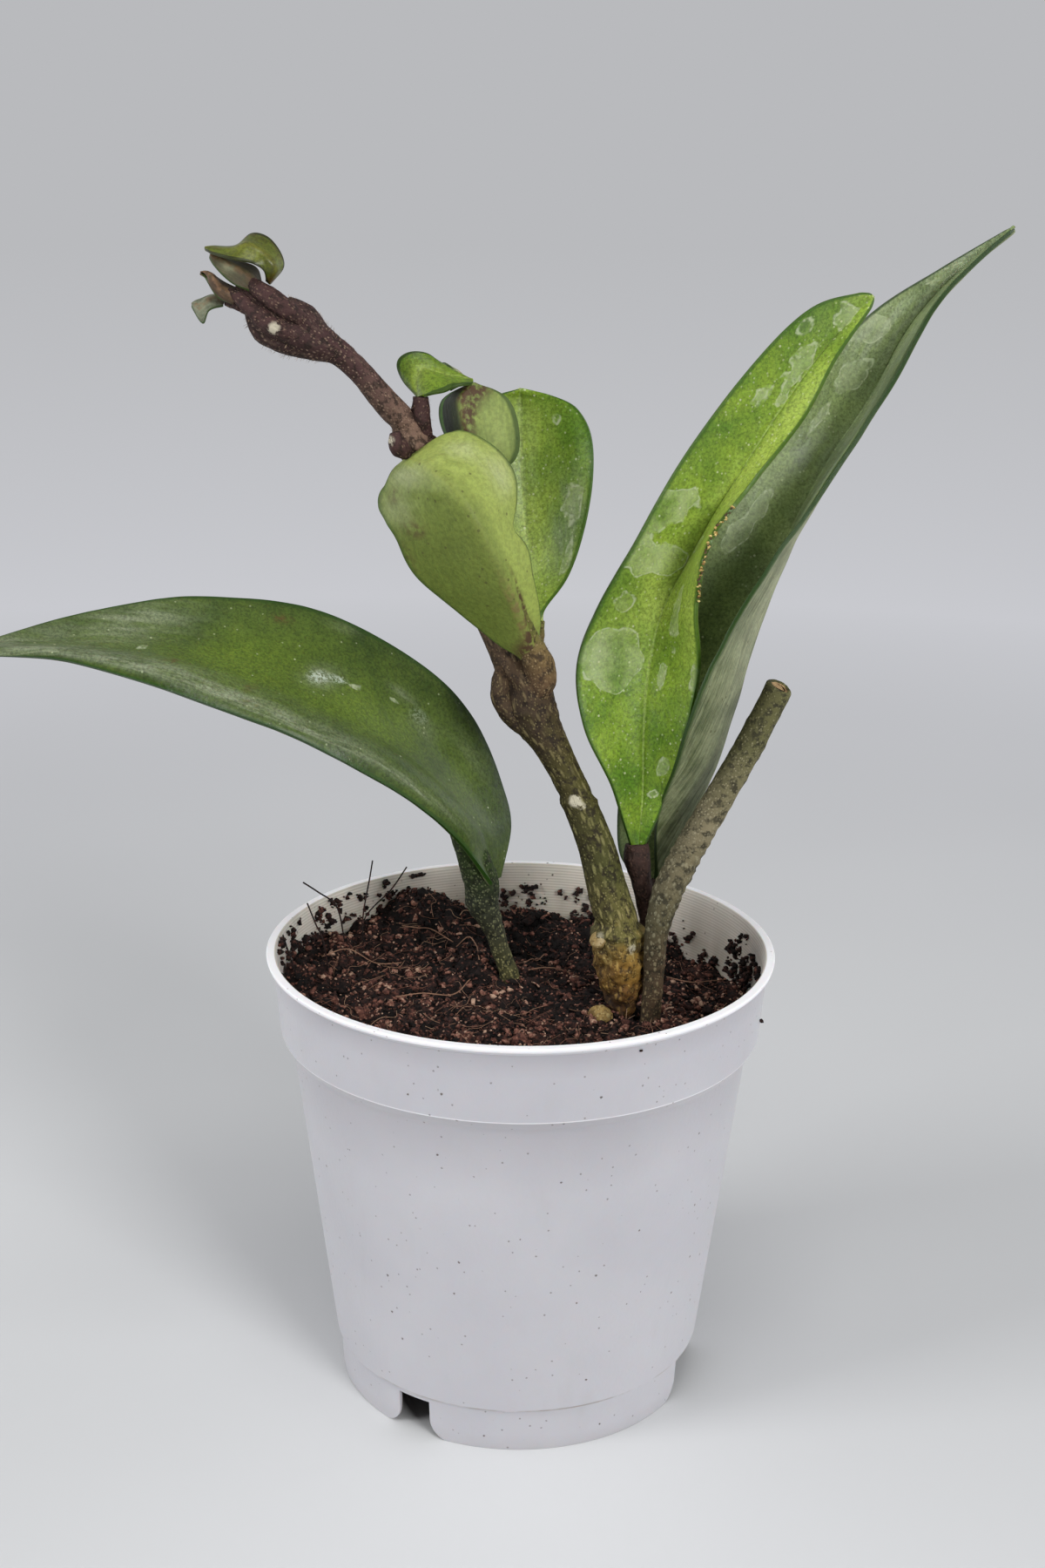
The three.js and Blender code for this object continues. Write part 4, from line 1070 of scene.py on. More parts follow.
def leaf(node, sections, thickness, skins, upper_side=1, cells=(44, 150), pushes=(), marks=(),
         glow=(), dust_and_sheen=(), scorch=(), rib=0.4, waviness=0.35, crease=0.0, neck=0.0, dimples=0.0, suffix=""):
    """A leaf as two skins through its sections, joined round the margin. The skins are the materials' names
    for its upper face and underside. The crease folds the midrib from 0 to 1, the neck draws the foot
    together, and the dimples dent the tip half."""
    across, along = cells
    shares, stations, columns = leaf_surface(sections, across, along, crease)
    middle = columns[across // 2]
    run = [0.0]
    widths = []
    for j in range(along + 1):
        if j:
            run.append(run[-1] + (middle[j] - middle[j - 1]).length / MM)
        widths.append(sum((columns[i + 1][j] - columns[i][j]).length for i in range(across)) / MM)
    length = run[-1]
    tip_reach = 0.8 * widths[-1]

    bm = bmesh.new()
    place_layer = bm.verts.layers.float_vector.new("place")
    tint_layer = bm.verts.layers.float_vector.new("tint")
    mark_layer = bm.verts.layers.float.new("mark")
    for side in (1, -1):
        skin = bmesh.ops.create_grid(bm, x_segments=across, y_segments=along, size=0.5)["verts"]
        is_upper = side == upper_side
        for face in {face for vert in skin for face in vert.link_faces}:
            face.material_index = 0 if is_upper else 1
        for vert in skin:
            i = round((vert.co.x + 0.5) * across)
            j = round((vert.co.y + 0.5) * along)
            u = shares[i]
            t = stations[j]
            over = columns[min(i + 1, across)][j] - columns[max(i - 1, 0)][j]
            on = columns[i][min(j + 1, along)] - columns[i][max(j - 1, 0)]
            normal = over.cross(on).normalized()
            here = columns[i][j]
            edge = abs(2 * u - 1)
            from_rib = (u - 0.5) * widths[j] - 0.9 * grain(Vector((0, 0, t * 0.2)), 30)
            half = thickness / 2 * (1 - 0.5 * edge ** 2)
            body = min(1, 6 * t, 6 * (1 - t))
            swell = body * (waviness * grain(here, 14) + 0.3 * waviness * grain(here, 5))
            swell += dimples * body * max(0, grain(here, 3.4) - 0.1) * bell(t - 0.75, 0.2)
            # the foot and the tip are drawn together to the midrib
            foot = neck * bell(t * length, 5.0)
            here = here.lerp(middle[j], 0.55 * foot)
            beyond = max(0, 1 - (length - run[j]) / tip_reach)
            here = here.lerp(middle[j], 0.95 * (1 - math.sqrt(1 - beyond ** 2)))
            half += 1.3 * foot * (1 - edge ** 2)
            # the midrib is a groove above and a ridge below
            if is_upper:
                half -= rib * body * bell(from_rib, 0.9)
            else:
                half += 1.6 * rib * body * (1 - 0.6 * t) * bell(from_rib, 1.3)
            push = margin_push(pushes, u, t)
            # tints: zones of painted light, of dust that also carries painted sheen, and of brown scorching
            zones = (glow, dust_and_sheen, scorch)
            vert[place_layer] = (from_rib, run[j], 2 * u - 1)
            vert[tint_layer] = [soft_zones(zone, u, t, widths[j], length) for zone in zones]
            vert[mark_layer] = mark_distance(marks, u, t, widths[j], length, here)
            vert.co = here + normal * (side * half + swell) * MM + over.normalized() * push * MM
    rims = [edge for edge in bm.edges if edge.is_boundary]
    for face in bmesh.ops.bridge_loops(bm, edges=rims)["faces"]:
        face.material_index = 0
    bmesh.ops.recalc_face_normals(bm, faces=bm.faces)
    materials = [bpy.data.materials[skin] for skin in skins]
    show("waxy_" + node + suffix, bm, materials, () if suffix else [node], levels=1)


# ---------- soil ----------

def damp_coco_peat():
    """Damp coco peat: dull red-brown grains from near black to tan, each with its own shade, which also holds
    painted shade in hollows and behind the stems.
    """
    material, tree, shader = new_material("damp_coco_peat", Specular_IOR_Level=0.25)
    where = add_node(tree, "TexCoord", out="Object")
    shade = add_node(tree, "Attribute", out="Fac", attribute_name="shade")
    cloud = add_node(tree, "TexNoise", Vector=where, Scale=140.0, Detail=4.0, Roughness=0.65)
    grainy = add_node(tree, "TexNoise", Vector=where, Scale=900.0, Detail=4.0, Roughness=0.7)
    mixed = add_node(tree, "Math", cloud, 0.4, shade, operation="MULTIPLY_ADD")
    level = add_node(tree, "Math", grainy, 0.8, mixed, operation="MULTIPLY_ADD")
    colour = add_node(
        tree, "ValToRGB", level,
        stops=[
            (0.48, "#0c0807"), (0.60, "#1c1210"), (0.70, "#3a241f"), (0.80, "#623d33"), (0.90, "#8c6253"),
            (1.0, "#b1917c"),
        ],
    )
    rough = add_node(tree, "MapRange", grainy, 0.0, 1.0, 0.78, 0.98)
    bump = add_node(tree, "Bump", Strength=0.6, Distance=0.0004, Height=grainy)
    feed(shader, Base_Color=colour, Roughness=rough, Normal=bump)
    return material


def soil_lumps(x, y):
    """The height of the soil's lumps in mm, at a place in mm."""
    place = Vector((x, y, 7.3)) * MM
    return 1.9 * grain(place, 8) + 1.5 * grain(place, 3.6) + 0.8 * grain(place, 1.7)


def soil_height(x, y):
    """The height of the soil in mm, at a place in mm."""
    height = SOIL_LEVEL + SOIL_SLOPE * x
    for mound_x, mound_y, rise, spread in SOIL_MOUNDS:
        height += rise * bell(math.hypot(x - mound_x, y - mound_y), spread)
    return height + soil_lumps(x, y)


def painted_soil_shading(x, y):
    """Painted light and shade on the peat at a place in mm: lighter on its lumps, darker in hollows and
    behind the stems.
    """
    return 0.06 * soil_lumps(x, y) - 0.14 * bell(math.hypot(x + 2, y - 36), 30)


def soil_bed(peat):
    """A disc of peat with a lumpy top, filled down to below its lowest hollow."""
    bm = bmesh.new()
    shade = bm.verts.layers.float.new("shade")
    cells = 230
    bmesh.ops.create_grid(bm, x_segments=cells, y_segments=cells, size=1)
    for vert in bm.verts:
        x, y = vert.co.x, vert.co.y
        px = x * math.sqrt(1 - y * y / 2) * SOIL_RADIUS
        py = y * math.sqrt(1 - x * x / 2) * SOIL_RADIUS
        vert.co = Vector((px, py, soil_height(px, py))) * MM
        vert[shade] = painted_soil_shading(px, py) - 0.02
    rim = [edge for edge in bm.edges if edge.is_boundary]
    skirt = bmesh.ops.extrude_edge_only(bm, edges=rim)["geom"]
    for vert in [v for v in skirt if isinstance(v, bmesh.types.BMVert)]:
        vert.co.z = SOIL_UNDERSIDE * MM
        vert.co.xy *= 0.92
    bmesh.ops.contextual_create(bm, geom=[e for e in bm.edges if e.is_boundary])
    bmesh.ops.recalc_face_normals(bm, faces=bm.faces)
    show("peat_bed", bm, [peat], ["potting_soil"])


def template(build):
    """A small mesh to copy, with a shade layer."""
    bm = bmesh.new()
    bm.verts.layers.float.new("shade")
    build(bm)
    return finished_mesh("template", bm)


def crumb_template(draw, subdivisions=1):
    """A lumpy grain of unit radius."""
    def build(bm):
        bmesh.ops.create_icosphere(bm, subdivisions=subdivisions, radius=1)
        offset = Vector((draw.uniform(0, 50), 0, 0))
        stretch = (1, draw.uniform(0.6, 0.9), draw.uniform(0.45, 0.8))
        for vert in bm.verts:
            coarse = noise.noise(vert.co * 1.4 + offset)
            fine = noise.noise(vert.co * 3.1 + offset)
            vert.co *= 1 + 0.9 * coarse + 0.4 * fine
        bmesh.ops.scale(bm, verts=bm.verts, vec=stretch)
    return template(build)


def chip_template(draw):
    """A splinter of husk of unit length, thin and a little bent."""
    def build(bm):
        bmesh.ops.create_cube(bm, size=1)
        bmesh.ops.scale(bm, verts=bm.verts, vec=(1, draw.uniform(0.2, 0.42), draw.uniform(0.08, 0.16)))
        long_edges = [e for e in bm.edges if abs(e.verts[0].co.x - e.verts[1].co.x) > 0.5]
        bmesh.ops.subdivide_edges(bm, edges=long_edges, cuts=2, use_grid_fill=True)
        for vert in bm.verts:
            vert.co.y *= 1 - 0.5 * abs(vert.co.x) * draw.uniform(0.6, 1.4)
            vert.co.z += 0.12 * math.cos(vert.co.x * 3) + draw.uniform(-0.02, 0.02)
    return template(build)


def fibre_template(draw):
    """A bent coir fibre of unit length; sweep takes its rows in millimetres."""
    def build(bm):
        rows = []
        for x in (-0.5, -0.25, 0.0, 0.25, 0.5):
            row = (x, draw.uniform(-0.12, 0.12), draw.uniform(-0.04, 0.12), 0.007)
            rows.append([value / MM for value in row])
        sweep(bm, rows, 4, 3)
    return template(build)


def hair_template():
    """A short tapering hair of unit length that stands up from its foot."""
    def build(bm):
        bmesh.ops.create_cone(
            bm, cap_ends=True, cap_tris=True, segments=3, radius1=0.045, radius2=0.012, depth=1,
            matrix=Matrix.Translation((0, 0, 0.5)),
        )
    return template(build)


def scatter(name, templates, placements, material):
    """One piece made of many small copies; each placement is a template's number, a matrix and a shade."""
    whole = bmesh.new()
    whole.verts.layers.float.new("shade")
    batch_size = 150
    for start in range(0, len(placements), batch_size):
        batch = bmesh.new()
        batch.verts.layers.float.new("shade")
        for number, matrix, shade in placements[start:start + batch_size]:
            copy = templates[number].copy()
            copy.transform(matrix)
            copy.attributes["shade"].data.foreach_set("value", [shade] * len(copy.vertices))
            batch.from_mesh(copy)
            bpy.data.meshes.remove(copy)
        mesh = finished_mesh("batch", batch)
        whole.from_mesh(mesh)
        bpy.data.meshes.remove(mesh)
    for mesh in templates:
        bpy.data.meshes.remove(mesh)
    show(name, whole, [material])


def tumbled(draw, place, size):
    """A matrix that turns a copy at random, sets its size and puts it at a place; both in millimetres."""
    turn = Matrix.Rotation(draw.uniform(0, math.tau), 4, "Z")
    for axis in "XY":
        turn = turn @ Matrix.Rotation(draw.uniform(-0.6, 0.6), 4, axis)
    return Matrix.Translation(Vector(place) * MM) @ turn @ Matrix.Scale(size * MM, 4)


def spot_on_soil(draw):
    """A random place on the soil, in millimetres."""
    distance = (SOIL_RADIUS - 0.8) * math.sqrt(draw.random())
    angle = draw.uniform(0, math.tau)
    x = distance * math.cos(angle)
    y = distance * math.sin(angle)
    return x, y, soil_height(x, y)


CRUMBS = 6500
DUST = 6500
CLODS = 230
CHIPS = 70
FIBRES = 300
WALL_CRUMBS = [  # degrees round the wall, spread in degrees, highest, clusters
    (172, 20, 9.0, 24), (148, 14, 9.0, 22), (128, 12, 7.0, 14), (88, 14, 7.5, 18), (70, 14, 8.0, 14),
    (38, 16, 7.0, 14), (14, 12, 13, 42), (-4, 10, 11, 26), (-90, 80, 4.0, 18),
]
STUCK_CRUMBS = [((26.0, -52.1, 105.5), 0.5), ((56.2, -13.4, 95.8), 0.6)]  # on the collar: place and size


def wall_crumbs(draw, shapes):
    """Crumbs that stick in clusters to the inside of the pot's wall, as placements for scatter."""
    placements = []
    for direction, spread, highest, clusters in WALL_CRUMBS:
        for _ in range(clusters):
            middle = draw.gauss(direction, spread / 2)
            height = highest * draw.random() ** 1.4
            for _ in range(draw.randrange(2, 14)):
                angle = math.radians(middle + draw.gauss(0, 0.55))
                up = max(0, height + draw.gauss(0, 0.6))
                size = 0.3 + 0.7 * draw.random() ** 2
                soil = soil_height(SOIL_RADIUS * math.cos(angle), SOIL_RADIUS * math.sin(angle))
                z = min(soil + up, POT_HEIGHT - 1)
                reach = inner_wall(z) - 0.6 * size
                number = draw.randrange(shapes)
                matrix = tumbled(draw, (reach * math.cos(angle), reach * math.sin(angle), z), size)
                placements.append((number, matrix, draw.gauss(0.02, 0.06)))
    return placements


def peat_grains(draw, peat):
    """Grains on the soil, on the pot's inside wall, and two on the outside of its collar."""
    grains = [crumb_template(draw) for _ in range(6)]
    placements = []
    for _ in range(CRUMBS):
        x, y, z = spot_on_soil(draw)
        size = 0.25 + 0.85 * draw.random() ** 3
        shade = min(draw.gauss(0.12, 0.15) + painted_soil_shading(x, y), 0.5)
        placements.append((draw.randrange(6), tumbled(draw, (x, y, z + 0.35 * size), size), shade))
    placements += wall_crumbs(draw, len(grains))
    for place, size in STUCK_CRUMBS:
        placements.append((0, tumbled(draw, place, size), 0.0))
    scatter("peat_grains", grains, placements, peat)


def peat_dust(draw, peat):
    """The finest grains, just above the soil and the coarser ones."""
    dust = [crumb_template(draw) for _ in range(4)]
    placements = []
    for _ in range(DUST):
        x, y, z = spot_on_soil(draw)
        size = draw.uniform(0.15, 0.42)
        shade = draw.gauss(0.10, 0.16) + painted_soil_shading(x, y)
        placements.append((draw.randrange(4), tumbled(draw, (x, y, z + draw.uniform(0.1, 0.7)), size), shade))
    scatter("peat_dust", dust, placements, peat)


def peat_clods(draw, peat):
    """Clods up to 4 mm across, half sunk in the soil."""
    clods = [crumb_template(draw, 2) for _ in range(5)]
    placements = []
    for _ in range(CLODS):
        x, y, z = spot_on_soil(draw)
        size = draw.uniform(0.7, 2.0)
        shade = draw.uniform(-0.10, 0.17) + painted_soil_shading(x, y)
        placements.append((draw.randrange(5), tumbled(draw, (x * 0.97, y * 0.97, z), size), shade))
    scatter("peat_clods", clods, placements, peat)


def husk_chips(draw, peat):
    """Pale splinters of husk on the soil."""
    chips = [chip_template(draw) for _ in range(6)]
    placements = []
    for _ in range(CHIPS):
        x, y, z = spot_on_soil(draw)
        number = draw.randrange(6)
        matrix = tumbled(draw, (x * 0.96, y * 0.96, z + 0.5), draw.uniform(1.2, 3.2))
        placements.append((number, matrix, draw.uniform(0.12, 0.40)))
    scatter("husk_chips", chips, placements, peat)


def coir_fibres(draw, coir):
    """Bent fibres, 4 to 10 mm long, that lie across the grains."""
    fibres = [fibre_template(draw) for _ in range(6)]
    placements = []
    for _ in range(FIBRES):
        x, y, z = spot_on_soil(draw)
        number = draw.randrange(6)
        matrix = tumbled(draw, (x * 0.9, y * 0.9, z + 0.8), draw.uniform(4, 10))
        placements.append((number, matrix, draw.random() * 0.7))
    scatter("coir_fibres", fibres, placements, coir)


def dry_coir():
    """Dry coir fibres and fine roots: reddish brown to tan, and matt."""
    material, tree, shader = new_material("dry_coir", Roughness=0.8, Specular_IOR_Level=0.3)
    shade = add_node(tree, "Attribute", out="Fac", attribute_name="shade")
    where = add_node(tree, "TexCoord", out="Object")
    patches = add_node(tree, "TexNoise", Vector=where, Scale=300.0)
    level = add_node(tree, "Math", patches, 0.3, shade, operation="MULTIPLY_ADD")
    colour = add_node(
        tree, "ValToRGB", level,
        stops=[(0.15, "#2e211b"), (0.4, "#6b4536"), (0.7, "#92705a"), (1.0, "#b3967a")],
    )
    feed(shader, Base_Color=colour)
    return material


PLACED_ROOTS = [  # each a row of places x, y and height above the soil, in millimetres
    [(-48, 8, 1.4), (-42, 11, 1.8), (-35, 9, 1.5), (-29, 10, 1.4)],
    [(-16, 23, 1.4), (-13, 22, 2.6), (-11, 18, 2.2), (-10, 9, 1.2)],
    [(-29, -10, 1.4), (-23, -9, 1.7), (-16, -7, 2.0), (-12, 2, 1.4)],
    [(-30, 32, 1.4), (-26, 30, 1.8), (-23, 32, 1.5), (-17, 28, 1.4)],
    [(1, 12, 1.4), (5, 14, 1.8), (9, 13, 1.6), (16, 9, 1.4)],
    [(36, 16, 1.4), (42, 14, 2.2), (47, 16, 1.8), (51, 19, 1.4)],
    [(1, 17, 1.4), (3, 22, 2.0), (4, 24, 2.4), (6, 30, 1.4)],
]
STANDING_ROOTS = [  # dark ones that stand up along the wall, as places in millimetres
    [(-53.7, 22, 115.9), (-49.9, 20, 114.2), (-45.1, 16, 112.1), (-43, 15, 103)],
    [(-37.6, 36, 116.9), (-38.1, 34, 113.6), (-39.4, 26, 105.2), (-39, 22, 98)],
    [(-29.2, 40, 113.9), (-32.9, 38, 108.7), (-39, 30, 104.1), (-41, 27, 98)],
    [(-51.7, 12, 114.2), (-49.2, 8, 110.1), (-47.2, 4, 107.9), (-46, 3, 100)],
    [(-56.8, 4, 109.1), (-54.2, 0, 103.2), (-52, -2, 98)],
]


def thread(name, rows, material, shade):
    """A fine root along rows of places and radius."""
    bm = bmesh.new()
    layer = bm.verts.layers.float.new("shade")
    sweep(bm, rows, 6, 10)
    for vert in bm.verts:
        vert[layer] = shade
    show(name, bm, [material])


def fine_roots(peat, coir):
    """The roots that lie on the soil and those that stand along the wall."""
    for number, root in enumerate(PLACED_ROOTS, 1):
        rows = [(x, y, soil_height(x, y) + above, 0.14) for x, y, above in root]
        thread("fine_root_%d" % number, rows, coir, 0.5)
    for number, root in enumerate(STANDING_ROOTS, 1):
        thread("standing_root_%d" % number, [(*place, 0.2) for place in root], peat, 0.0)


def add_soil():
    """The bed of peat and everything that lies on it."""
    peat = damp_coco_peat()
    coir = dry_coir()
    soil_bed(peat)
    draw = random.Random(11)
    peat_grains(draw, peat)
    peat_dust(draw, peat)
    peat_clods(draw, peat)
    husk_chips(draw, peat)
    fine_roots(peat, coir)
    coir_fibres(random.Random(5), coir)


def shaded_material(name, stops, **constants):
    """A plain material whose colour follows each copy's own shade."""
    material, tree, shader = new_material(name, **constants)
    shade = add_node(tree, "Attribute", out="Fac", attribute_name="shade")
    feed(shader, Base_Color=add_node(tree, "ValToRGB", shade, stops=stops))
    return material


def downy_hair():
    """Tan hairs on the young shoot: fine, matt and pale."""
    stops = [(0.0, "#5f4a3c"), (0.5, "#94795f"), (1.0, "#c2ab8a")]
    return shaded_material("downy_hair", stops, Roughness=0.7, Specular_IOR_Level=0.3)


CALLUS_BEADS = 46
HAIRY_ROWS = [  # rows to grow hairs on, first and last share along them, count, length
    (MAIN_STEM, 0.82, 0.985, 520, 0.9),
    (MAIN_STEM, 0.66, 0.82, 260, 0.5),
    (CURLED_LEAF_PETIOLE, 0.05, 0.95, 120, 0.7),
    (SMALL_LEAF_PETIOLE, 0.1, 0.95, 90, 0.7),
    (HOODED_LEAF_PETIOLE, 0.3, 1.0, 90, 0.6),
]


def hairs():
    """Down on the young shoot and petioles, leaning towards their tips."""
    draw = random.Random(3)
    placements = []
    for rows, first, last, count, length in HAIRY_ROWS:
        centres = [Vector(row[:3]) for row in rows]
        girths = [Vector((i, row[3], 0)) for i, row in enumerate(rows)]
        for _ in range(count):
            t = draw.uniform(first, last)
            tangent = heading(centres, t, 0.01)
            away = Vector((draw.gauss(0, 1), draw.gauss(0, 1), draw.gauss(0, 1)))
            outward = (away - tangent * away.dot(tangent)).normalized()
            foot = spline(centres, t) + outward * (spline(girths, t).y - 0.05)
            lean = (outward + tangent * draw.uniform(-0.2, 0.9) + away * 0.12).normalized()
            turn = lean.to_track_quat("Z", "Y").to_matrix().to_4x4()
            size = Matrix.Scale(draw.uniform(0.5, 1.2) * length * MM, 4)
            placements.append((0, Matrix.Translation(foot * MM) @ turn @ size, draw.random()))
    scatter("downy_hairs", [hair_template()], placements, downy_hair())


def dry_callus():
    """Golden-brown callus on a healed leaf margin: dry, with a slight shine."""
    stops = [(0.2, "#4a3218"), (0.5, "#9c7c38"), (1.0, "#d8c078")]
    return shaded_material("dry_callus", stops, Roughness=0.45)


def callus_beads():
    """Beads of callus along the scorched stretch of the bright leaf's margin."""
    draw = random.Random(8)
    margin = [Vector(section[-1]) for section in BRIGHT_LEAF]
    beads = [crumb_template(draw) for _ in range(4)]
    placements = []
    first = 0.46
    stretch = 0.17
    for i in range(CALLUS_BEADS):
        t = first + stretch * (i + draw.random()) / CALLUS_BEADS
        place = spline(margin, t) + Vector((draw.uniform(-0.5, 0.4), -0.7, draw.uniform(-0.3, 0.3)))
        placements.append((draw.randrange(4), tumbled(draw, place, draw.uniform(0.3, 0.55)), draw.random()))
    scatter("callus_beads", beads, placements, dry_callus())


# ---------- the whole plant ----------

UPPER_FACES = {  # how each waxy upper face is coloured; glow is the colour of painted light, the dust colour also paints sheen, and rim is painted shade
    "waxy_dark_leaf": dict(
        deep="#364a1a", mid="#4f6322", glow="#6b8226", dust_and_sheen="#8f987a", vein_and_light="#566d28", margin="#22400f",
        rib_tone=0.1, rim="#2a4712", shaded_rim_start=0.84, flecks=0.88,
    ),
    "waxy_bright_leaf": dict(
        deep="#597f1e", mid="#86a42c", glow="#b4c85c", dust_and_sheen="#9aa586", vein_and_light="#a9bf68", margin="#35570f",
        flecks=0.66, rib_tone=0.5,
    ),
    "waxy_folded_leaf": dict(
        deep="#68794e", mid="#8a9c62", glow="#8ca252", dust_and_sheen="#a8b19a", vein_and_light="#68783e", margin="#203811",
        rib_tone=0.1, rim="#24400f", shaded_rim_start=0.86,
    ),
    "waxy_young_leaf": dict(
        deep="#4f6c18", mid="#728d26", glow="#98ad44", dust_and_sheen="#9aa36c", vein_and_light="#b6c76e", margin="#263c0c",
        flecks=0.9, margin_start=0.84,
    ),
    "waxy_tip_leaf": dict(
        deep="#464d16", mid="#626e22", glow="#7f8530", dust_and_sheen="#8d8f5a", vein_and_light="#7f7436", margin="#25290f",
        flecks=0.9, margin_start=0.84,
    ),
}
UNDERSIDES = {  # how each underside is coloured; the lit zones take the painted-light colour, and the shaded half and its rim are painted shade and painted light
    "grey_green_underside": dict(deep="#505a36", pale="#8d946e", vein_and_light="#a0ab84", contrast=(0.40, 0.58)),
    "olive_underside": dict(deep="#5e6c2e", pale="#728236", vein_and_light="#9caa54", contrast=(0.30, 0.70)),
    "pale_green_underside": dict(deep="#7f9440", pale="#a2b55a", vein_and_light="#b6c674"),
    "curled_leaf_underside": dict(
        deep="#67783a", pale="#8d9e50", vein_and_light="#a4b266", border_start=0.88, shaded_half="#232b1a",
        painted_light_rim="#5d9228",
    ),
    "grey_tip_underside": dict(deep="#3f4634", pale="#6a705c", vein_and_light="#7a8068"),
    "brown_tip_underside": dict(deep="#33301e", pale="#575338", vein_and_light="#6f6a4c"),
    "downy_bract": dict(deep="#2f231b", pale="#5d4a36", vein_and_light="#7a654a"),
}


def arching_leaf():
    """The long leaf on the left, seen from below: dust and painted sheen along its fold, with a few dark and
    white spots.
    """
    leaf(
        "arching_leaf", ARCHING_LEAF, 1.9, ["waxy_dark_leaf", "grey_green_underside"],
        upper_side=-1,
        marks=[(0.45, 0.77, 0.6, 0.8), (0.32, 0.495, 0.7, 1.1), (0.27, 0.44, 0.5, 1.0)],
        glow=[
            (0.42, 0.64, 10, 16, 0.9), (0.42, 0.45, 7, 12, 0.8), (0.35, 0.28, 10, 16, 0.45),
            (0.42, 0.82, 6, 10, 0.4),
        ],
        dust_and_sheen=[
            (0.20, 0.80, 6, 9, 0.9), (0.66, 0.80, 4.0, 30, 0.9), (0.66, 0.55, 3.6, 24, 0.9),
            (0.74, 0.32, 2.4, 24, 0.8), (0.35, 0.54, 2.6, 3.0, 1.0), (0.20, 0.44, 1.2, 3, 0.6),
            (0.28, 0.38, 2.5, 4, 0.5), (0.04, 0.57, 1.0, 2.5, 0.6), (0.15, 0.30, 3, 8, 0.3),
            (0.30, 0.95, 8, 12, 0.5),
        ],
        scorch=[
            (0.53, 0.72, 0.8, 1.2, 1), (0.55, 0.61, 0.8, 1.2, 1), (0.65, 0.59, 0.7, 1.2, 1),
            (0.10, 0.64, 0.8, 1.5, 1), (0.36, 0.545, 1.5, 1.8, -1.1), (0.33, 0.520, 0.8, 1.6, -0.9),
            (0.24, 0.40, 2.5, 3, -0.35),
        ],
    )


def bright_leaf():
    """The upright yellow-green leaf: many water marks, and a scorched, wavy stretch of its right margin."""
    leaf(
        "bright_leaf", BRIGHT_LEAF, 1.9, ["waxy_bright_leaf", "pale_green_underside"],
        neck=0.3, crease=0.35,
        marks=[
            (0.12, 0.63, 3.7, 3.7), (0.05, 0.60, 2, 2.6), (0.20, 0.55, 7, 4.0), (0.20, 0.36, 6.5, 7.5),
            (0.74, 0.43, 1.8, 7), (0.65, 0.32, 1.2, 2.8), (0.97, 0.32, 1.2, 3), (0.82, 0.17, 1.6, 2.2),
            (0.75, 0.12, 1.6, 0.9), (0.35, 0.84, 1.8, 4.5), (0.38, 0.94, 2.6, 3.2), (0.23, 0.78, 0.9, 1.8),
            (0.60, 0.58, 1.6, 1.6), (0.15, 0.46, 2.2, 2.6), (0.42, 0.79, 0.9, 1.2), (0.10, 0.87, 0.9, 1.6),
        ],
        glow=[
            (0.85, 0.72, 5, 26, 0.9), (0.95, 0.42, 4, 16, 0.6), (0.3, 0.5, 9, 20, 0.35),
            (0.62, 0.60, 9, 22, 0.7), (0.4, 0.46, 10, 14, 0.5),
        ],
        dust_and_sheen=[(0.35, 0.93, 5, 12, 0.2), (0.18, 0.36, 5, 6, 0.35)],
        scorch=[(1.0, 0.56, 1.4, 9, 0.9)],
        pushes=[
            (1, 0.50, 0.7, 0.013), (1, 0.53, -0.6, 0.012), (1, 0.565, 0.9, 0.013), (1, 0.60, -0.7, 0.012),
            (1, 0.63, 0.5, 0.012),
        ],
    )


def folded_leaf():
    """The tall folded leaf on the right: greyish, with dust and painted sheen, and a broad rim of painted
    shade.
    """
    leaf(
        "folded_leaf", FOLDED_LEAF, 1.9, ["waxy_folded_leaf", "grey_green_underside"],
        cells=(48, 170), crease=0.3, neck=0.4, waviness=0.5,
        marks=[
            (0.25, 0.72, 3.2, 4.6), (0.10, 0.78, 4, 3.5), (0.20, 0.55, 2.2, 3.6), (0.16, 0.52, 2.6, 4),
            (0.20, 0.89, 1.6, 4), (0.22, 0.66, 0.9, 3.5),
        ],
        glow=[(0.25, 0.55, 9, 40, 0.5), (0.3, 0.8, 8, 16, 0.4)],
        dust_and_sheen=[
            (0.74, 0.62, 7, 34, 0.85), (0.70, 0.38, 5, 20, 0.5), (0.2, 0.78, 7, 12, 0.6),
            (0.3, 0.9, 5, 12, 0.6), (0.12, 0.55, 5, 8, 0.4),
        ],
    )


def hooded_leaf():
    """The leaf that curls over like a hood: sharply folded, dimpled, brown at its foot, with wavy margins."""
    leaf(
        "hooded_leaf", HOODED_LEAF, 1.5, ["waxy_dark_leaf", "olive_underside"], upper_side=-1,
        cells=(48, 90), crease=0.75, neck=0.45, dimples=1.6, rib=0.5,
        glow=[
            (0.84, 0.25, 6.0, 22, 1.1), (0.80, 0.5, 9, 14, 1.1), (0.76, 0.72, 9, 9, 1.1),
            (0.70, 0.9, 8, 7, 0.9),
        ],
        dust_and_sheen=[
            (0.88, 0.62, 4, 5, 0.7), (0.80, 0.77, 3, 4, 0.6), (0.25, 0.80, 6, 5, 0.6),
            (0.1, 0.62, 4, 5, 0.4),
        ],
        scorch=[
            (0.15, 0.53, 2.2, 2.4, 0.8), (0.1, 0.70, 1.2, 3, 0.6), (0.02, 0.44, 1.5, 3, 0.5),
            (0.5, 0.0, 6, 5, 1.4), (0.60, 0.07, 1.0, 6, 1.5), (0.62, 0.16, 0.8, 8, 1.6),
        ],
        pushes=[
            (0, 0.66, 1.6, 0.07), (0, 0.50, -0.8, 0.06), (0, 0.36, 0.7, 0.06), (1, 0.42, -2.0, 0.04),
            (1, 0.33, 1.2, 0.05), (1, 0.60, 0.7, 0.05), (1, 0.72, -0.5, 0.04),
        ],
    )


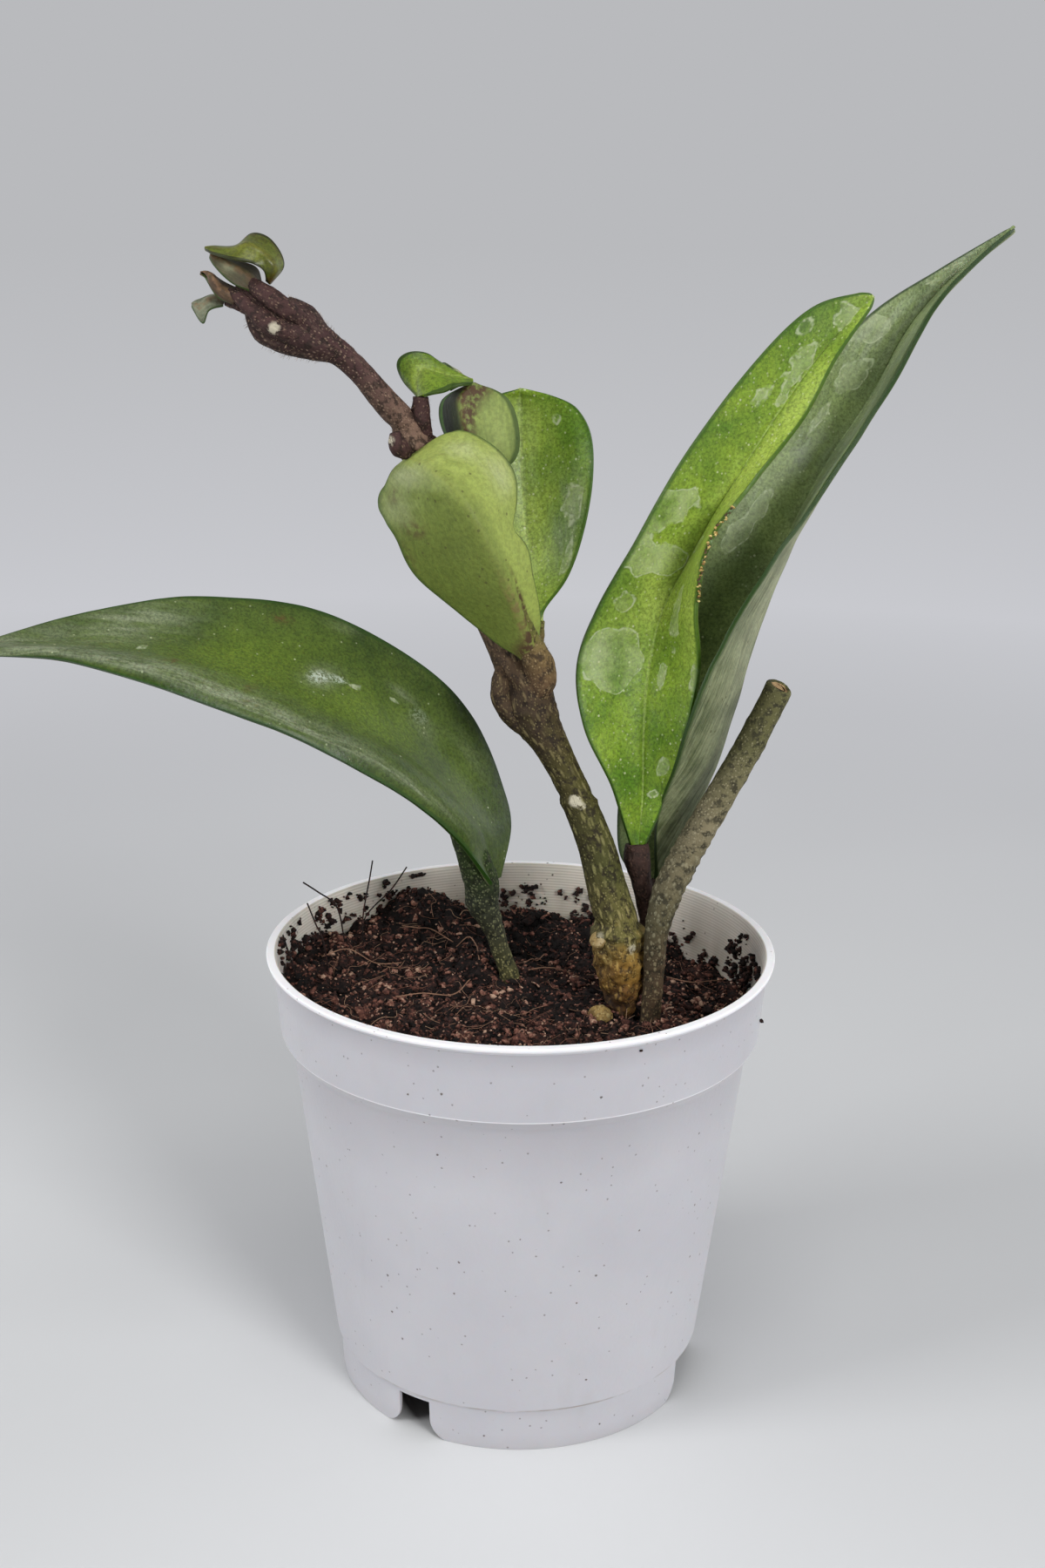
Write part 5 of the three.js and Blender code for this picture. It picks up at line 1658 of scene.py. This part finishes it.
def round_leaf():
    """The short round leaf behind the hooded one: bright, with dust and painted sheen and small water marks.
    """
    leaf(
        "round_leaf", ROUND_LEAF, 1.5, ["waxy_bright_leaf", "pale_green_underside"],
        cells=(40, 64), neck=0.5, crease=0.15,
        marks=[(0.88, 0.36, 1.7, 2.8), (0.80, 0.66, 0.8, 1.2), (0.93, 0.22, 0.9, 2), (0.3, 0.7, 0.6, 0.9)],
        glow=[(0.35, 0.2, 7, 12, 0.6), (0.3, 0.55, 8, 14, 0.6), (0.62, 0.45, 7, 20, 0.4)],
        dust_and_sheen=[(0.88, 0.32, 4, 8, 0.6), (0.3, 0.5, 8, 12, 0.7)],
    )


def curled_leaf():
    """The small curled leaf at the upper node, seen from below: folded sharply, with painted shade on the
    half from its crease to its first margin, and a painted rim of light along that margin.
    """
    leaf(
        "curled_leaf", CURLED_LEAF, 1.1, ["waxy_dark_leaf", "curled_leaf_underside"],
        upper_side=-1, cells=(36, 40), crease=0.85, waviness=0.4, dimples=0.8,
        glow=[(0.8, 0.45, 3, 7, 0.7)],
        scorch=[(0.56, 0.70, 2.2, 5, 1.3), (0.5, 0.4, 1.6, 6, 0.9), (0.62, 0.88, 4.0, 3.0, 1.3)],
        pushes=[(1, 0.5, 0.6, 0.3)],
    )


def small_leaves():
    """The small leaf at the upper node, and a second one behind it."""
    leaf(
        "small_leaf", SMALL_LEAF, 1.1, ["waxy_young_leaf", "pale_green_underside"],
        cells=(32, 40), crease=0.4, waviness=0.3, dimples=0.6,
        glow=[(0.45, 0.35, 3, 7, 0.9)],
        pushes=[(0, 0.30, 0.5, 0.1), (0, 0.62, -1.0, 0.10)],
    )
    leaf(
        "small_leaf", SMALL_LEAF_BEHIND, 1.0, ["waxy_folded_leaf", "grey_green_underside"],
        cells=(20, 28), waviness=0.2, dust_and_sheen=[(0.5, 0.5, 3, 5, 0.7)], suffix="_behind",
    )


def tip_leaves():
    """The three youngest leaves at the growing tip."""
    leaf(
        "tip_leaf_upper", TIP_LEAF_UPPER, 1.1, ["waxy_tip_leaf", "waxy_tip_leaf"],
        cells=(28, 40), waviness=0.3, crease=0.3, glow=[(0.7, 0.55, 4, 6, 0.9)],
        scorch=[(0.0, 0.5, 1.2, 9, 0.5), (0.5, 0.05, 3, 2, 0.8)],
    )
    leaf(
        "tip_leaf_inner", TIP_LEAF_INNER, 1.1, ["brown_tip_underside", "brown_tip_underside"],
        cells=(24, 28), waviness=0.3, dust_and_sheen=[(0.6, 0.66, 1.4, 1.6, 1.0)], scorch=[(0.5, 0.1, 4, 3, 0.8)],
    )
    leaf(
        "tip_leaf_lower", TIP_LEAF_LOWER, 1.0, ["grey_tip_underside", "grey_tip_underside"],
        cells=(20, 24), waviness=0.2, dust_and_sheen=[(0.5, 0.5, 4, 5, 0.4)],
    )


def tip_bract():
    """The downy bract under the growing tip."""
    leaf(
        "tip_bract", TIP_BRACT, 1.1, ["downy_bract", "downy_bract"], cells=(20, 24),
        waviness=0.3,
    )


def add_leaves():
    """The skins of the leaves, then the leaves from the largest to the youngest."""
    for name, colours in UPPER_FACES.items():
        waxy_leaf(name, **colours)
    for name, colours in UNDERSIDES.items():
        leaf_underside(name, **colours)
    arching_leaf()
    bright_leaf()
    folded_leaf()
    hooded_leaf()
    round_leaf()
    curled_leaf()
    small_leaves()
    tip_leaves()
    callus_beads()
    tip_bract()


STALKS = [  # name, rows, skin, slot and the node that it stands for
    ("green_cutting_stem", ARCHING_LEAF_STEM, "cutting_bark", "woody_stem", "arching_leaf_stem"),
    ("bright_leaf_stalk", BRIGHT_LEAF_PETIOLE, "dark_petiole_skin", "young_stem", "bright_leaf_petiole"),
    ("folded_leaf_stalk", FOLDED_LEAF_PETIOLE, "dark_petiole_skin", "young_stem", "folded_leaf_petiole"),
    ("hooded_leaf_stalk", HOODED_LEAF_PETIOLE + HOODED_LEAF_RIB, "petiole_skin", "woody_stem",
     "hooded_leaf_petiole"),
    ("round_leaf_stalk", ROUND_LEAF_PETIOLE, "petiole_skin", "woody_stem", "round_leaf_petiole"),
    ("curled_leaf_stalk", CURLED_LEAF_PETIOLE, "downy_shoot_skin", "young_stem", "curled_leaf_petiole"),
    ("small_leaf_stalk", SMALL_LEAF_PETIOLE, "downy_shoot_skin", "young_stem", "small_leaf_petiole"),
    ("bud_in_the_axil", AXIL_BUD, "climbing_bark", "young_stem", "axil_bud"),
]


def add_stems():
    """The skins of the stems, then the stems, petioles, buds and scars."""
    climbing_bark()
    cutting_bark()
    corky_bark()
    petiole_skin()
    shoot_skin("downy_shoot_skin", base="#452f2d", light="#947a66")
    shoot_skin("dark_petiole_skin", base="#3f2d27", light="#6d5444")
    main_rows = VISIBLE_BASE + MAIN_STEM[5:]
    stem("corky_main_stem", main_rows, "climbing_bark", "main_stem", main_stem_relief, 72, 10)
    cut_stem()
    for name, rows, skin, slot, node in STALKS:
        stem(name, rows, skin, node)
    for name, rows, skin, slot in FREE_STALKS:
        stem(name, rows, skin, None, rings_per_row=8)


add_camera()
add_lights()
add_floor()
nursery_pot()
add_soil()
add_stems()
add_leaves()
hairs()
